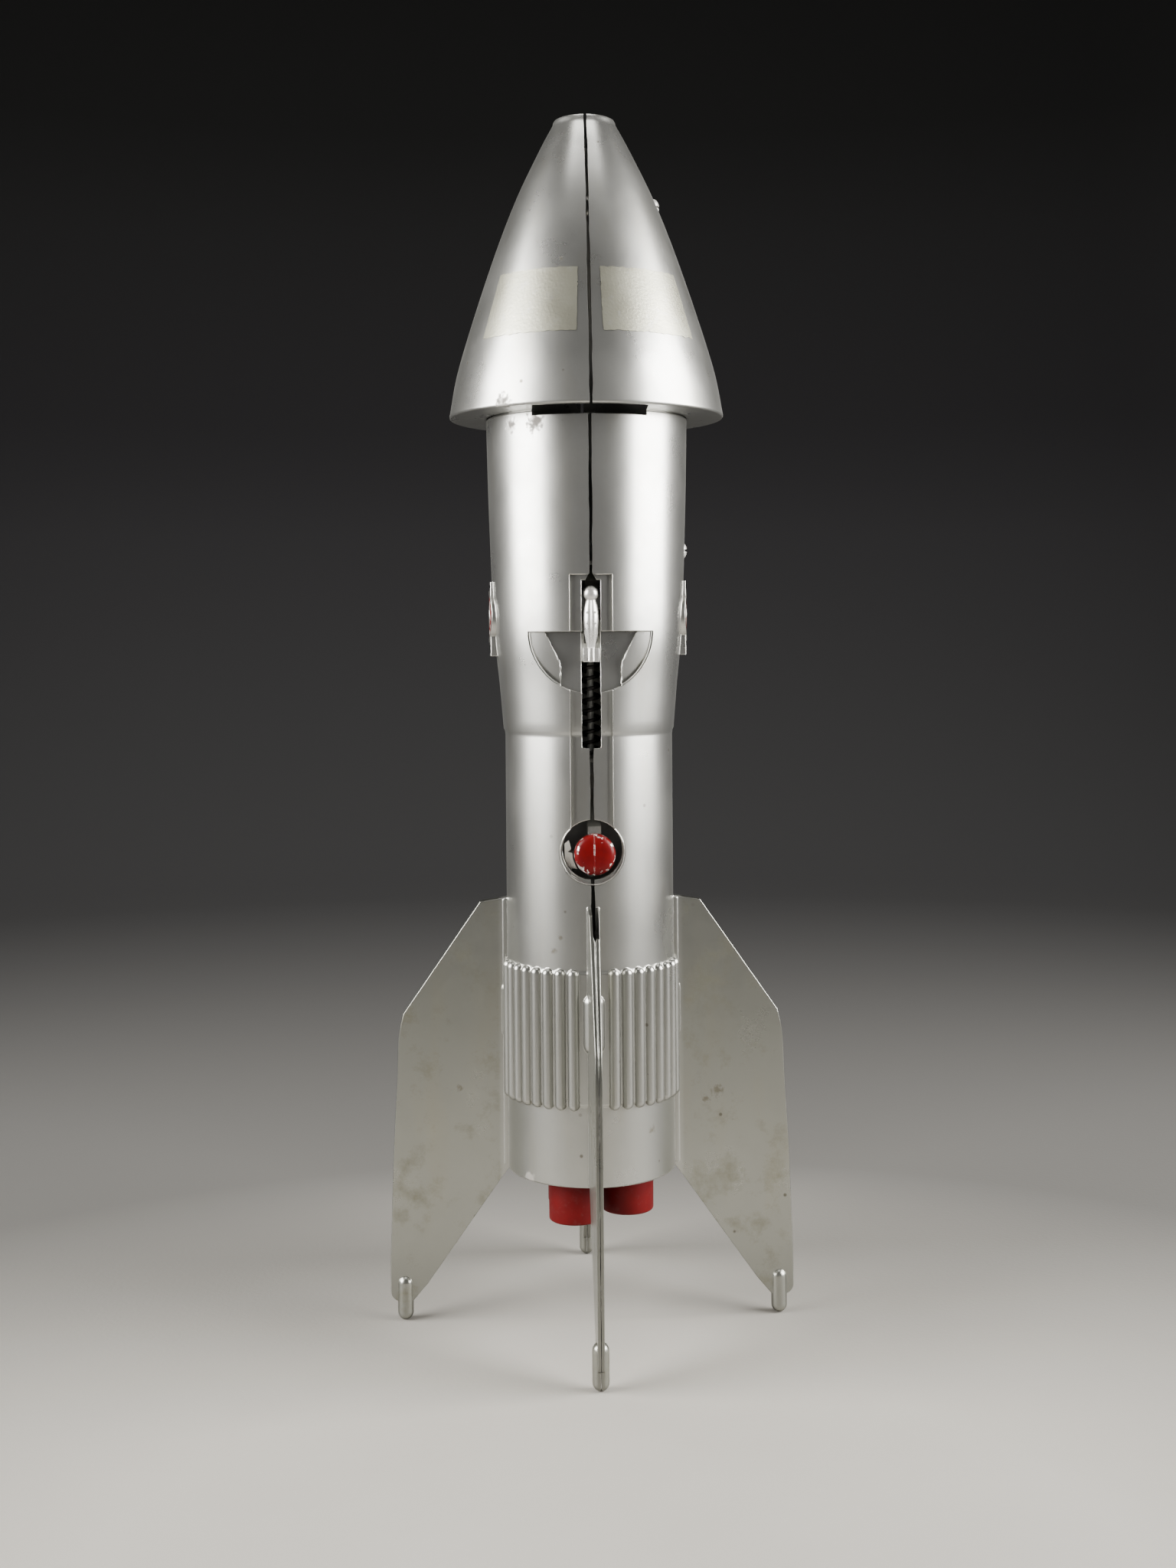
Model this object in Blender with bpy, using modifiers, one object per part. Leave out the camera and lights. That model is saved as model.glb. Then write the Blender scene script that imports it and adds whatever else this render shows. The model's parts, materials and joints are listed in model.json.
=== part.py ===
"""Die-cast space rocket coin bank, as an assembly of its separate pieces.

Frame: metres, +Z up, origin on the standing surface under the rocket's axis, front at -Y.
The nose and the body are each two half castings that meet on the plane X = 0, and the nose halves
clamp round the body's neck. Sizes below are in millimetres.
"""
import math

import bmesh
import bpy
from mathutils import Matrix, Vector

MM = 0.001
GAP = 0.3                    # clearance kept between neighbouring pieces

# Casting
HEIGHT = 280.0
SEAM = 0.3                   # half the gap between the two half castings
WALL = 2.0
NOSE_WALL = 2.2
NOSE_BASE_Z = 210.0
NECK_R = 23.0
NECK_FLANGE_R = 24.9
NECK_TOP_Z = 214.3
BODY_BOTTOM_Z = 35.4
STEP_Z = 137.0               # crease where the shoulder meets the lower cylinder
LOWER_R = 19.5
NOSE_CURVE = [(7.4, 278.8), (10.6, 272.8), (16.6, 260.2), (22.7, 244.0), (29.6, 222.4), (32.0, 210.7)]
BODY_CURVE = [(23.45, 208.0), (23.1, 191.8), (22.5, 173.0), (21.95, 160.0), (20.8, 148.7), (19.9, 137.9)]
TURN_STEPS = 40

# Ribbed band and fins
BAND_Z = (52.7, 84.5)
RIB_CREST_R = 20.95
RIB_PITCH_DEG = 9.0
RIBS_PER_QUARTER = 8
RIB_HALF_DEG = 3.7
FIN_ROOT_R = 18.6
FIN_HALF_ROOT = 1.3
FIN_HALF_TIP = 0.75
FIN_TIP_R = 47.2
FOOT_R = 1.85
FOOT_CENTRE_R = 43.8
FOOT_TOP_Z = 10.3
FOOT_FLAT_R = 1.1

# Front of the body
CHANNEL_HALF = 4.8
CHANNEL_DEPTH = 1.0
CHANNEL_TOP_Z = 173.0
SLOT_HALF = 2.15
SLOT_Z = (134.0, 171.7)
MOON_R = 14.1
MOON_TOP_Z = 160.3
MOON_DEPTH = 1.85            # at the middle of the half-moon
MOON_FLATTER = 7.5           # its floor's radius is larger than the body's by this
POCKET_Y = -17.8
BACKING_Y = -16.9
HOLE_R = 7.4
HOLE_Z = 110.7
MOUTH_HALF = 12.8
MOUTH_R = 30.2
MOUTH_Z = (208.7, 213.5)
BADGE_Z = 164.0
BADGE_R = 6.0
BADGE_X = 23.15              # the badges wrap round the body at this radius

# Launcher
MISSILE_Y = -19.9
MISSILE_R = 1.85
MISSILE_Z = (153.4, 170.5)
ROD_Y = -12.8
ROD_R = 0.8
CARRIAGE_Z = (153.6, 162.6)
CARRIAGE_HALF = 3.4
TAB_Z = (158.0, 162.0)
TAB_PIN_Y = -15.6
LOWER_LUG_Z = (127.5, 130.3)
UPPER_LUG_Z = (165.5, 168.5)
SPRING_R = 2.0
SPRING_WIRE_R = 0.4
SPRING_TURNS = 9

# Trigger
PIVOT_Y = -6.0
PIVOT_Z = 172.0
PIVOT_PIN_R = 1.2
LEVER_X = (-1.0, 2.1)
BUTTON_X = 0.55
BUTTON_Z = 110.1
BUTTON_R = 4.65
BUTTON_Y = (-19.9, -16.2)

# Trap
TRAP_Z = (36.6, 38.4)
TRAP_R = 16.1
NOZZLE_R = 6.1
NOZZLE_CENTRE_R = 8.25
NOZZLE_BOTTOM_Z = 25.0
NOZZLE_WALL = 1.1

FINISHES = {
    "cast_paint": ((0.60, 0.60, 0.58), 0.38, 0.75),
    "red_paint": ((0.55, 0.04, 0.03), 0.40, 0.0),
    "red_plastic": ((0.50, 0.03, 0.03), 0.45, 0.0),
    "bright_metal": ((0.72, 0.72, 0.73), 0.25, 1.0),
    "steel": ((0.45, 0.45, 0.46), 0.35, 1.0),
    "spring_steel": ((0.05, 0.05, 0.05), 0.40, 0.9),
    "fibre": ((0.10, 0.08, 0.07), 0.80, 0.0),
    "rubber": ((0.03, 0.03, 0.03), 0.75, 0.0),
}

# A local XY outline laid on world axes, with the local Z as the direction it is thickened in
ALONG_X = Matrix(((0, 0, 1, 0), (1, 0, 0, 0), (0, 1, 0, 0), (0, 0, 0, 1)))
ALONG_Y = Matrix(((1, 0, 0, 0), (0, 0, -1, 0), (0, 1, 0, 0), (0, 0, 0, 1)))
ALONG_Z = Matrix.Identity(4)

parts = bpy.data.collections.new("space_rocket_bank")
cutters = bpy.data.collections.new("cutters")


# ---------------------------------------------------------------- helpers

def clear_scene():
    for item in list(bpy.data.objects):
        bpy.data.objects.remove(item, do_unlink=True)
    bpy.context.scene.collection.children.link(parts)
    bpy.context.scene.collection.children.link(cutters)


def make_materials():
    for name, (colour, roughness, metallic) in FINISHES.items():
        material = bpy.data.materials.new(name)
        material.use_nodes = True
        shader = material.node_tree.nodes["Principled BSDF"]
        shader.inputs["Base Color"].default_value = (*colour, 1.0)
        shader.inputs["Roughness"].default_value = roughness
        shader.inputs["Metallic"].default_value = metallic


def add_object(name, mesh, tool=False):
    """Link a mesh as a part, or as a tool that only shapes other parts."""
    item = bpy.data.objects.new(name, mesh)
    if tool:
        cutters.objects.link(item)
        item.hide_render = True
        item.display_type = "WIRE"
    else:
        parts.objects.link(item)
    return item


def finish_part(item, material, smooth=True):
    item.data.materials.clear()
    item.data.materials.append(bpy.data.materials[material])
    if smooth:
        item.data.shade_smooth()
        item.data.set_sharp_from_angle(angle=math.radians(35))


def mesh_from_bmesh(name, work):
    mesh = bpy.data.meshes.new(name)
    bmesh.ops.recalc_face_normals(work, faces=work.faces)
    work.to_mesh(mesh)
    work.free()
    return mesh


def box(name, low, high, tool=True):
    work = bmesh.new()
    bmesh.ops.create_cube(work, size=1.0)
    size = Vector(high) - Vector(low)
    centre = (Vector(high) + Vector(low)) / 2
    bmesh.ops.scale(work, vec=size * MM, verts=work.verts)
    bmesh.ops.translate(work, vec=centre * MM, verts=work.verts)
    return add_object(name, mesh_from_bmesh(name, work), tool)


def rod(name, radius, start, end, segments=20, tool=True):
    """A cylinder between two points."""
    start = Vector(start) * MM
    end = Vector(end) * MM
    turn = Vector((0, 0, 1)).rotation_difference(end - start).to_matrix().to_4x4()
    place = Matrix.Translation((start + end) / 2) @ turn
    work = bmesh.new()
    bmesh.ops.create_cone(work, cap_ends=True, segments=segments, radius1=radius * MM,
                          radius2=radius * MM, depth=(end - start).length, matrix=place)
    return add_object(name, mesh_from_bmesh(name, work), tool)


def turned(name, outline, place=None, steps=TURN_STEPS, tool=False):
    """Revolve an (r, z) outline that starts and ends on the axis, or is a closed loop."""
    closed = min(radius for radius, _ in outline) > 0
    work = bmesh.new()
    verts = [work.verts.new((radius * MM, 0, height * MM)) for radius, height in outline]
    for first, second in zip(verts, verts[1:]):
        work.edges.new((first, second))
    if closed:
        work.edges.new((verts[-1], verts[0]))
    mesh = bpy.data.meshes.new(name)
    work.to_mesh(mesh)
    work.free()
    item = add_object(name, mesh, tool)
    if place is not None:
        item.matrix_world = place
    screw = item.modifiers.new("turn", "SCREW")
    screw.steps = steps
    screw.render_steps = steps
    screw.use_merge_vertices = True
    screw.merge_threshold = 0.00001
    return item


def flat_outline(name, loops, low, high, plane, tool=True):
    """A flat outline thickened from low to high along the plane's normal."""
    curve = bpy.data.curves.new(name, "CURVE")
    curve.dimensions = "2D"
    curve.fill_mode = "BOTH"
    curve.extrude = (high - low) / 2 * MM
    for loop in loops:
        spline = curve.splines.new("POLY")
        spline.points.add(len(loop) - 1)
        for point, (across, up) in zip(spline.points, loop):
            point.co = (across * MM, up * MM, 0, 1)
        spline.use_cyclic_u = True
    guide = add_object(name + "_guide", curve, tool=True)
    bpy.context.view_layer.update()
    solid = bpy.data.meshes.new_from_object(guide.evaluated_get(bpy.context.evaluated_depsgraph_get()))
    work = bmesh.new()
    work.from_mesh(solid)
    bmesh.ops.remove_doubles(work, verts=work.verts, dist=0.000001)
    bpy.data.objects.remove(guide, do_unlink=True)
    bpy.data.meshes.remove(solid)
    item = add_object(name, mesh_from_bmesh(name, work), tool)
    item.matrix_world = plane @ Matrix.Translation((0, 0, (low + high) / 2 * MM))
    return item


def shape(item, operation, tools):
    """Join, cut or keep the common part, one tool after another."""
    for tool in tools:
        step = item.modifiers.new(tool.name, "BOOLEAN")
        step.operation = operation
        step.object = tool
        step.solver = "EXACT"


def smooth_curve(points, steps):
    """A smooth line through the given points, with some points between each two."""
    first = tuple(2 * a - b for a, b in zip(points[0], points[1]))
    last = tuple(2 * a - b for a, b in zip(points[-1], points[-2]))
    chain = [first] + list(points) + [last]
    result = []
    for p0, p1, p2, p3 in zip(chain, chain[1:], chain[2:], chain[3:]):
        for step in range(steps):
            t = step / steps
            result.append(tuple(
                0.5 * (2 * b + (c - a) * t + (2 * a - 5 * b + 4 * c - d) * t ** 2
                       + (3 * b - a - 3 * c + d) * t ** 3)
                for a, b, c, d in zip(p0, p1, p2, p3)))
    result.append(tuple(points[-1]))
    return result


def arc(centre, radius, start_deg, end_deg, count):
    angles = [math.radians(start_deg + (end_deg - start_deg) * i / count) for i in range(count + 1)]
    return [(centre[0] + radius * math.cos(a), centre[1] + radius * math.sin(a)) for a in angles]


def offset_outline(outline, inward):
    return [(radius - inward, height) for radius, height in outline]


# ---------------------------------------------------------------- half castings

def nose_profile():
    """Outer skin of the nose from the tip down, its floor plate, then the inner skin up to the axis."""
    nose = smooth_curve(NOSE_CURVE, 2)
    floor_top = NOSE_BASE_Z + NOSE_WALL
    outer = [(0, HEIGHT), (5.8, HEIGHT), (6.8, HEIGHT - 0.4)] + nose + [(31.6, NOSE_BASE_Z)]
    floor = [(NECK_R + GAP, NOSE_BASE_Z), (NECK_R + GAP, floor_top), (29.2, floor_top)]
    inner = offset_outline(nose[-3:1:-1], NOSE_WALL) + [(5.8, 275.4), (0, 276.2)]
    return outer + floor + inner


def body_profile():
    """Closed outline of the body's wall: neck flange, outer skin, trap ledge and inner skin."""
    body = smooth_curve(BODY_CURVE, 2)
    bore = LOWER_R - WALL
    throat = body[0][0] - WALL
    shoulder = NOSE_BASE_Z - GAP
    flange_low = NOSE_BASE_Z + NOSE_WALL + GAP
    neck = [(throat, NECK_TOP_Z), (NECK_FLANGE_R, NECK_TOP_Z), (NECK_FLANGE_R, flange_low),
            (NECK_R, flange_low), (NECK_R, shoulder), (23.5, shoulder)]
    skin = body + [(LOWER_R, STEP_Z), (LOWER_R, BODY_BOTTOM_Z)]
    ledge = [(bore, BODY_BOTTOM_Z), (bore, 39.2), (bore - 1.5, 39.4), (bore - 1.5, 40.8), (bore, 42.4)]
    return neck + skin + ledge + [(bore, STEP_Z - 1)] + offset_outline(body[::-1], WALL)


def band_loops():
    """The ribbed band's outer edge, with half-round ribs, and its hidden inner edge."""
    outer = []
    for quarter in range(4):
        base = 90.0 * quarter
        outer.append((LOWER_R, base))
        for rib in range(RIBS_PER_QUARTER):
            middle = base + 13.5 + RIB_PITCH_DEG * rib
            for part in range(5):
                swing = math.pi * part / 4
                height = (RIB_CREST_R - LOWER_R + 0.2) * math.sin(swing)
                outer.append((LOWER_R - 0.2 + height, middle - RIB_HALF_DEG * math.cos(swing)))
    edge = [(r * math.cos(math.radians(a)), r * math.sin(math.radians(a))) for r, a in outer]
    inside = arc((0, 0), LOWER_R - 0.9, 0, 360 * 47 / 48, 47)
    return [edge, inside]


def fin_outline():
    top = [(FIN_ROOT_R, 98.6), (25.8, 97.5)] + smooth_curve([(43.9, 71.4), (45.0, 66.0), (45.35, 57.0)], 2)
    side = [(46.35, 39.0), (47.2, 13.8)] + arc((44.9, 6.6), 2.3, 0, -90, 4)
    under = [(42.0, 4.4), (38.5, 8.5), (20.0, 34.6), (FIN_ROOT_R, 36.0)]
    return top + side + under


def taper_fin(item):
    """Thin the fin evenly from its root to its outer edge."""
    for vertex in item.data.vertices:
        along = (vertex.co.x / MM - FIN_ROOT_R) / (FIN_TIP_R - FIN_ROOT_R)
        vertex.co.z *= 1 + along * (FIN_HALF_TIP / FIN_HALF_ROOT - 1)


def foot_profile():
    dome = arc((0, FOOT_TOP_Z - FOOT_R), FOOT_R, 90, 0, 4)
    toe = [(FOOT_R, 1.2), (1.55, 0.35), (FOOT_FLAT_R, 0), (0, 0)]
    return [(0, FOOT_TOP_Z)] + dome[1:] + toe


def fin_tools():
    """Four fins with their root strips, root bosses and feet, shared by both castings."""
    tools = []
    for number in range(4):
        turn = Matrix.Rotation(math.radians(90 * number), 4, "Z")
        fin = flat_outline(f"fin_{number}", [fin_outline()], -FIN_HALF_ROOT, FIN_HALF_ROOT, turn @ ALONG_Y)
        taper_fin(fin)
        strip = box(f"strip_{number}", (FIN_ROOT_R, -1.45, 35.9), (20.7, 1.45, 99.3))
        strip.matrix_world = turn
        boss = rod(f"root_boss_{number}", 2.75, (18.5, 0, 67.3), (18.5, 0, 79.6), segments=16)
        boss.matrix_world = turn
        place = turn @ Matrix.Translation((FOOT_CENTRE_R * MM, 0, 0))
        foot = turned(f"foot_{number}", foot_profile(), place, steps=16, tool=True)
        tools += [fin, strip, boss, foot]
    return tools


def half_disc(radius):
    return arc((0, MOON_TOP_Z), radius, 180, 360, 20)


def core_profile(inward):
    body = offset_outline(smooth_curve(BODY_CURVE, 2), inward)
    bottom = body[-1][0]
    return [(0, 200.0)] + [p for p in body if p[1] < 200.0] + [(bottom, 130.0), (0, 130.0)]


def recess_backing():
    """Thicker casting behind the half-moon recess."""
    backing = flat_outline("backing", [[(x, z + (1.2 if abs(x) > 15.2 else 0)) for x, z in half_disc(15.3)]],
                           -BACKING_Y, 26.0, ALONG_Y)
    core = turned("backing_core", core_profile(0.5), tool=True)
    shape(backing, "INTERSECT", [core])
    return backing


def nose_post():
    return rod("nose_post", 3.0, (-15.6, 0, 259.7), (15.6, 0, 259.7))


def inner_bosses():
    """Bosses and lugs that both body castings carry, each on its own side."""
    lower = flat_outline("lower_lug", [[(-17.8, -9.3), (-17.8, -16.0), (17.8, -16.0), (17.8, -9.3)]],
                         *LOWER_LUG_Z, ALONG_Z)
    lower_core = turned("lower_lug_core", [(0, 133), (LOWER_R - 0.6, 133), (LOWER_R - 0.6, 125), (0, 125)],
                        tool=True)
    shape(lower, "INTERSECT", [lower_core])
    upper = flat_outline("upper_lug", [[(-20, -9.5), (-20, -16.4), (20, -16.4), (20, -9.5)]],
                         *UPPER_LUG_Z, ALONG_Z)
    upper_core = turned("upper_lug_core", [(0, 171), (21.3, 171), (21.3, 163), (0, 163)], tool=True)
    shape(upper, "INTERSECT", [upper_core])
    upper_post = rod("upper_post", 2.6, (-21.5, 0, 179.2), (21.5, 0, 179.2))
    lower_post = rod("lower_post", 2.8, (-13.0, 11.5, 45.0), (13.0, 11.5, 45.0))
    return [lower, upper, upper_post, lower_post]


def pivot_boss(side):
    start = LEVER_X[1] + 0.4 if side > 0 else -LEVER_X[0] + 0.4
    return rod(f"pivot_boss_{'right' if side > 0 else 'left'}", 3.0,
               (side * start, PIVOT_Y, PIVOT_Z), (side * 20.0, PIVOT_Y, PIVOT_Z))


def badge(side):
    """A plain raised roundel with a bar above and below it."""
    name = "right" if side > 0 else "left"
    disc = rod(f"badge_disc_{name}", BADGE_R, (side * 20.8, 0, BADGE_Z), (side * 25, 0, BADGE_Z), segments=32)
    low, high = sorted((side * 20.8, side * 25))
    bar = box(f"badge_bar_{name}", (low, -3.9, 154.8), (high, 3.9, 172.0))
    for item, radius in ((disc, BADGE_X), (bar, BADGE_X - 0.15)):
        shape(item, "INTERSECT", [rod(f"{item.name}_face", radius, (0, 0, 150), (0, 0, 176), segments=72)])
    return [disc, bar]


def left_shelves():
    """Ledges on the left casting for the coin guard and the leaf spring."""
    return [box("guard_shelf_upper", (-19.4, -7.0, 150.0), (-9.5, -2.2, 157.0)),
            box("guard_shelf_lower", (-17.0, -7.0, 108.0), (-9.5, -2.2, 115.0)),
            box("leaf_shelf", (-17.0, -7.9, 88.5), (-1.2, -4.0, 98.0))]


def front_cuts():
    """The channel, slot, half-moon recess, button hole and coin mouth."""
    floor = [(-(radius - CHANNEL_DEPTH), height) for radius, height in BODY_CURVE[2:]]
    outline = [(-30, CHANNEL_TOP_Z)] + floor + [(-(LOWER_R - CHANNEL_DEPTH), STEP_Z)]
    outline += [(-(LOWER_R - CHANNEL_DEPTH), HOLE_Z), (-30, HOLE_Z)]
    channel = flat_outline("channel", [outline], -CHANNEL_HALF, CHANNEL_HALF, ALONG_X)
    slot = box("slot", (-SLOT_HALF, -30, SLOT_Z[0]), (SLOT_HALF, -16.6, SLOT_Z[1]))
    moon = flat_outline("half_moon", [half_disc(MOON_R)], 10, 30, ALONG_Y)
    moon_place = Matrix.Translation((0, (MOON_FLATTER + MOON_DEPTH) * MM, 0))
    moon_core = turned("half_moon_core", core_profile(-MOON_FLATTER), moon_place, tool=True)
    shape(moon, "DIFFERENCE", [moon_core])
    pocket_outline = [(-10.4, MOON_TOP_Z), (-6.9, 153.3), (-6.9, 148.1), (6.9, 148.1), (6.9, 153.3),
                      (10.4, MOON_TOP_Z)]
    pocket = flat_outline("pocket", [pocket_outline], -POCKET_Y, 26, ALONG_Y)
    hole = rod("button_hole", HOLE_R, (0, -30, HOLE_Z), (0, -10, HOLE_Z), segments=32)
    return [channel, moon, pocket, slot, hole]


def mouth_cuts():
    """The coin mouth: under the nose lip in the nose's floor plate, and down through the body's neck."""
    low = (-MOUTH_HALF, -40, MOUTH_Z[0])
    nose_mouth = box("nose_mouth", low, (MOUTH_HALF, -19, MOUTH_Z[1]))
    edge = rod("mouth_edge", MOUTH_R, (0, 0, MOUTH_Z[0] - 5), (0, 0, MOUTH_Z[1] + 5), segments=64)
    shape(nose_mouth, "INTERSECT", [edge])
    return nose_mouth, box("neck_mouth", low, (MOUTH_HALF, -17, NECK_TOP_Z + 1))


def nose_screw_cuts():
    return [rod("nose_screw_hole", 1.6, (-7, 0, 259.7), (30, 0, 259.7), segments=16),
            rod("nose_screw_seat", 2.45, (15.6, 0, 259.7), (30, 0, 259.7))]


def body_screw_cuts():
    """Clearance holes and head seats for the body screws, and holes for the pivot pin and guide rod."""
    return [rod("upper_screw_hole", 1.6, (-8, 0, 179.2), (30, 0, 179.2), segments=16),
            rod("upper_screw_seat", 2.4, (21.7, 0, 179.2), (30, 0, 179.2)),
            rod("lower_screw_hole", 1.6, (-7, 11.5, 45.0), (30, 11.5, 45.0), segments=16),
            rod("lower_screw_seat", 2.45, (12.0, 11.5, 45.0), (30, 11.5, 45.0)),
            rod("pivot_bore", PIVOT_PIN_R + GAP, (-9.5, PIVOT_Y, PIVOT_Z), (9.5, PIVOT_Y, PIVOT_Z),
                segments=16),
            rod("rod_bore", ROD_R + GAP, (0, ROD_Y, LOWER_LUG_Z[0] - 1), (0, ROD_Y, UPPER_LUG_Z[1] + 1),
                segments=12)]


def left_cuts():
    return [rod("guard_hole_upper", 1.3, (-12.5, -6.6, 153.5), (-12.5, 0, 153.5), segments=12),
            rod("guard_hole_lower", 1.3, (-12.5, -6.6, 111.5), (-12.5, 0, 111.5), segments=12),
            rod("leaf_hole", 1.3, (-3.9, -9, 93.2), (-3.9, -3, 93.2), segments=12)]


def half_casting(name, side, profile, additions, cuts):
    shell = turned(name, profile)
    shape(shell, "UNION", additions)
    shape(shell, "DIFFERENCE", cuts)
    low = (SEAM, -60, -5) if side > 0 else (-60, -60, -5)
    high = (60, 60, 300) if side > 0 else (-SEAM, 60, 300)
    shape(shell, "INTERSECT", [box(f"{name}_side", low, high)])
    finish_part(shell, "cast_paint")


def make_castings():
    nose_mouth, neck_mouth = mouth_cuts()
    nose_cuts = nose_screw_cuts() + [nose_mouth]
    post = nose_post()
    half_casting("nose_right_shell", 1, nose_profile(), [post], nose_cuts)
    half_casting("nose_left_shell", -1, nose_profile(), [post], nose_cuts)
    band = flat_outline("band", band_loops(), *BAND_Z, ALONG_Z)
    shared = [band] + fin_tools() + [recess_backing()] + inner_bosses()
    cuts = front_cuts() + body_screw_cuts() + [neck_mouth]
    right = shared + badge(1) + [pivot_boss(1)]
    left = shared + badge(-1) + [pivot_boss(-1)] + left_shelves()
    half_casting("body_right_shell", 1, body_profile(), right, cuts)
    half_casting("body_left_shell", -1, body_profile(), left, cuts + left_cuts())


# ---------------------------------------------------------------- launcher

def make_missile():
    dome = arc((0, MISSILE_Z[1] - MISSILE_R), MISSILE_R, 90, 0, 4)
    outline = [(0, MISSILE_Z[1])] + dome[1:]
    outline += [(MISSILE_R, 162.5), (1.35, 158.0), (0.8, 156.4), (0.8, MISSILE_Z[0]), (0, MISSILE_Z[0])]
    place = Matrix.Translation((0, MISSILE_Y * MM, 0))
    missile = turned("launch_missile", outline, place, steps=16)
    tail_z = (MISSILE_Z[0] + 0.02, MISSILE_Z[0] + 3.1)
    wide = box("tail_wide", (-MISSILE_R, MISSILE_Y - 0.45, tail_z[0]), (MISSILE_R, MISSILE_Y + 0.45, tail_z[1]))
    deep = box("tail_deep", (-0.45, MISSILE_Y - 1.8, tail_z[0] + 0.02), (0.45, MISSILE_Y + 1.8, tail_z[1] - 0.02))
    tab = box("missile_tab", (-1.2, MISSILE_Y, TAB_Z[0]), (1.2, -14.8, TAB_Z[1]))
    hole = rod("tab_hole", 0.6 + GAP, (-3, TAB_PIN_Y, 160.0), (3, TAB_PIN_Y, 160.0), segments=12)
    shape(missile, "UNION", [wide, deep, tab])
    shape(missile, "DIFFERENCE", [hole])
    finish_part(missile, "bright_metal")
    return missile


def make_carriage():
    carriage = box("launcher_carriage", (-CARRIAGE_HALF, -16.5, CARRIAGE_Z[0]),
                   (CARRIAGE_HALF, -9.9, CARRIAGE_Z[1]), tool=False)
    tongue = box("tongue", (-2.4, -10.4, CARRIAGE_Z[0] + 0.02), (2.4, -8.8, CARRIAGE_Z[0] + 2.0))
    shape(carriage, "UNION", [tongue])
    pocket = box("tab_pocket", (-1.5, -17.0, TAB_Z[0] - GAP), (1.5, -14.5, TAB_Z[1] + GAP))
    bore = rod("carriage_bore", ROD_R + GAP, (0, ROD_Y, 150), (0, ROD_Y, 166), segments=16)
    hole = rod("carriage_pin_hole", 0.6 + GAP, (-5, TAB_PIN_Y, 160.0), (5, TAB_PIN_Y, 160.0), segments=12)
    shape(carriage, "DIFFERENCE", [pocket, bore, hole])
    finish_part(carriage, "steel")
    return carriage


def make_carriage_pin():
    pin = rod("carriage_pin", 0.6, (-3.2, TAB_PIN_Y, 160.0), (3.2, TAB_PIN_Y, 160.0), segments=12, tool=False)
    finish_part(pin, "steel")
    return pin


def make_guide_rod():
    guide = rod("guide_rod", ROD_R, (0, ROD_Y, LOWER_LUG_Z[0] + 0.2), (0, ROD_Y, UPPER_LUG_Z[1] - 0.2),
                segments=12, tool=False)
    finish_part(guide, "steel")


def washer(name, outer, low, high, material):
    inner = ROD_R + GAP
    ring = turned(name, [(outer, high), (outer, low), (inner, low), (inner, high)],
                  Matrix.Translation((0, ROD_Y * MM, 0)), steps=20)
    finish_part(ring, material)


def make_washers():
    washer("spring_seat_washer", 2.9, 130.6, 131.4, "steel")
    washer("bumper_washer", 3.0, 162.95, 165.15, "fibre")


def make_launch_spring():
    """A compression coil from the seat washer up to the carriage."""
    low = 131.4 + GAP + SPRING_WIRE_R
    high = CARRIAGE_Z[0] - GAP - SPRING_WIRE_R
    curve = bpy.data.curves.new("launch_spring", "CURVE")
    curve.dimensions = "3D"
    curve.bevel_depth = SPRING_WIRE_R * MM
    curve.bevel_resolution = 1
    curve.use_fill_caps = True
    steps = 10 * SPRING_TURNS
    spline = curve.splines.new("POLY")
    spline.points.add(steps)
    for number, point in enumerate(spline.points):
        turn = 2 * math.pi * SPRING_TURNS * number / steps
        height = low + (high - low) * number / steps
        point.co = (SPRING_R * math.cos(turn) * MM, (ROD_Y + SPRING_R * math.sin(turn)) * MM, height * MM, 1)
    spring = add_object("launch_spring", curve)
    curve.materials.append(bpy.data.materials["spring_steel"])
    return spring


# ---------------------------------------------------------------- trigger

def make_lever():
    outline = [(-4.9, 171.0), (-7.4, 171.0), (-7.4, 148.2), (-8.5, 147.1), (-8.5, 144.3), (-7.4, 144.3),
               (-7.4, 124.0), (-15.9, 116.2), (-15.9, 105.5), (-15.3, 104.9), (-13.9, 104.9),
               (-13.3, 105.5), (-13.3, 114.6), (-4.9, 122.3)]
    lever = flat_outline("trigger_lever", [outline], *LEVER_X, ALONG_X, tool=False)
    hub = rod("lever_hub", 3.0, (LEVER_X[0] + 0.02, PIVOT_Y, PIVOT_Z), (LEVER_X[1] - 0.02, PIVOT_Y, PIVOT_Z))
    bore = rod("lever_bore", PIVOT_PIN_R + GAP, (-5, PIVOT_Y, PIVOT_Z), (5, PIVOT_Y, PIVOT_Z), segments=16)
    eye = rod("button_eye", 1.2, (BUTTON_X, -18, BUTTON_Z), (BUTTON_X, -10, BUTTON_Z), segments=12)
    shape(lever, "UNION", [hub])
    shape(lever, "DIFFERENCE", [bore, eye])
    finish_part(lever, "bright_metal")
    return lever


def make_button():
    """A low domed button with a stem that is pressed into the lever."""
    front, back = -BUTTON_Y[0], -BUTTON_Y[1]
    outline = [(0, front), (2.6, front - 0.12), (4.0, front - 0.45), (BUTTON_R, front - 1.1), (BUTTON_R, back),
               (0.9, back), (0.9, 13.6), (0, 13.6)]
    place = Matrix.Translation((BUTTON_X * MM, 0, BUTTON_Z * MM)) @ ALONG_Y
    button = turned("release_button", outline, place, steps=32)
    finish_part(button, "red_paint")
    return button


def make_pivot_pin():
    pin = rod("trigger_pivot_pin", PIVOT_PIN_R, (-9.0, PIVOT_Y, PIVOT_Z), (9.0, PIVOT_Y, PIVOT_Z),
              segments=16, tool=False)
    finish_part(pin, "steel")


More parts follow.
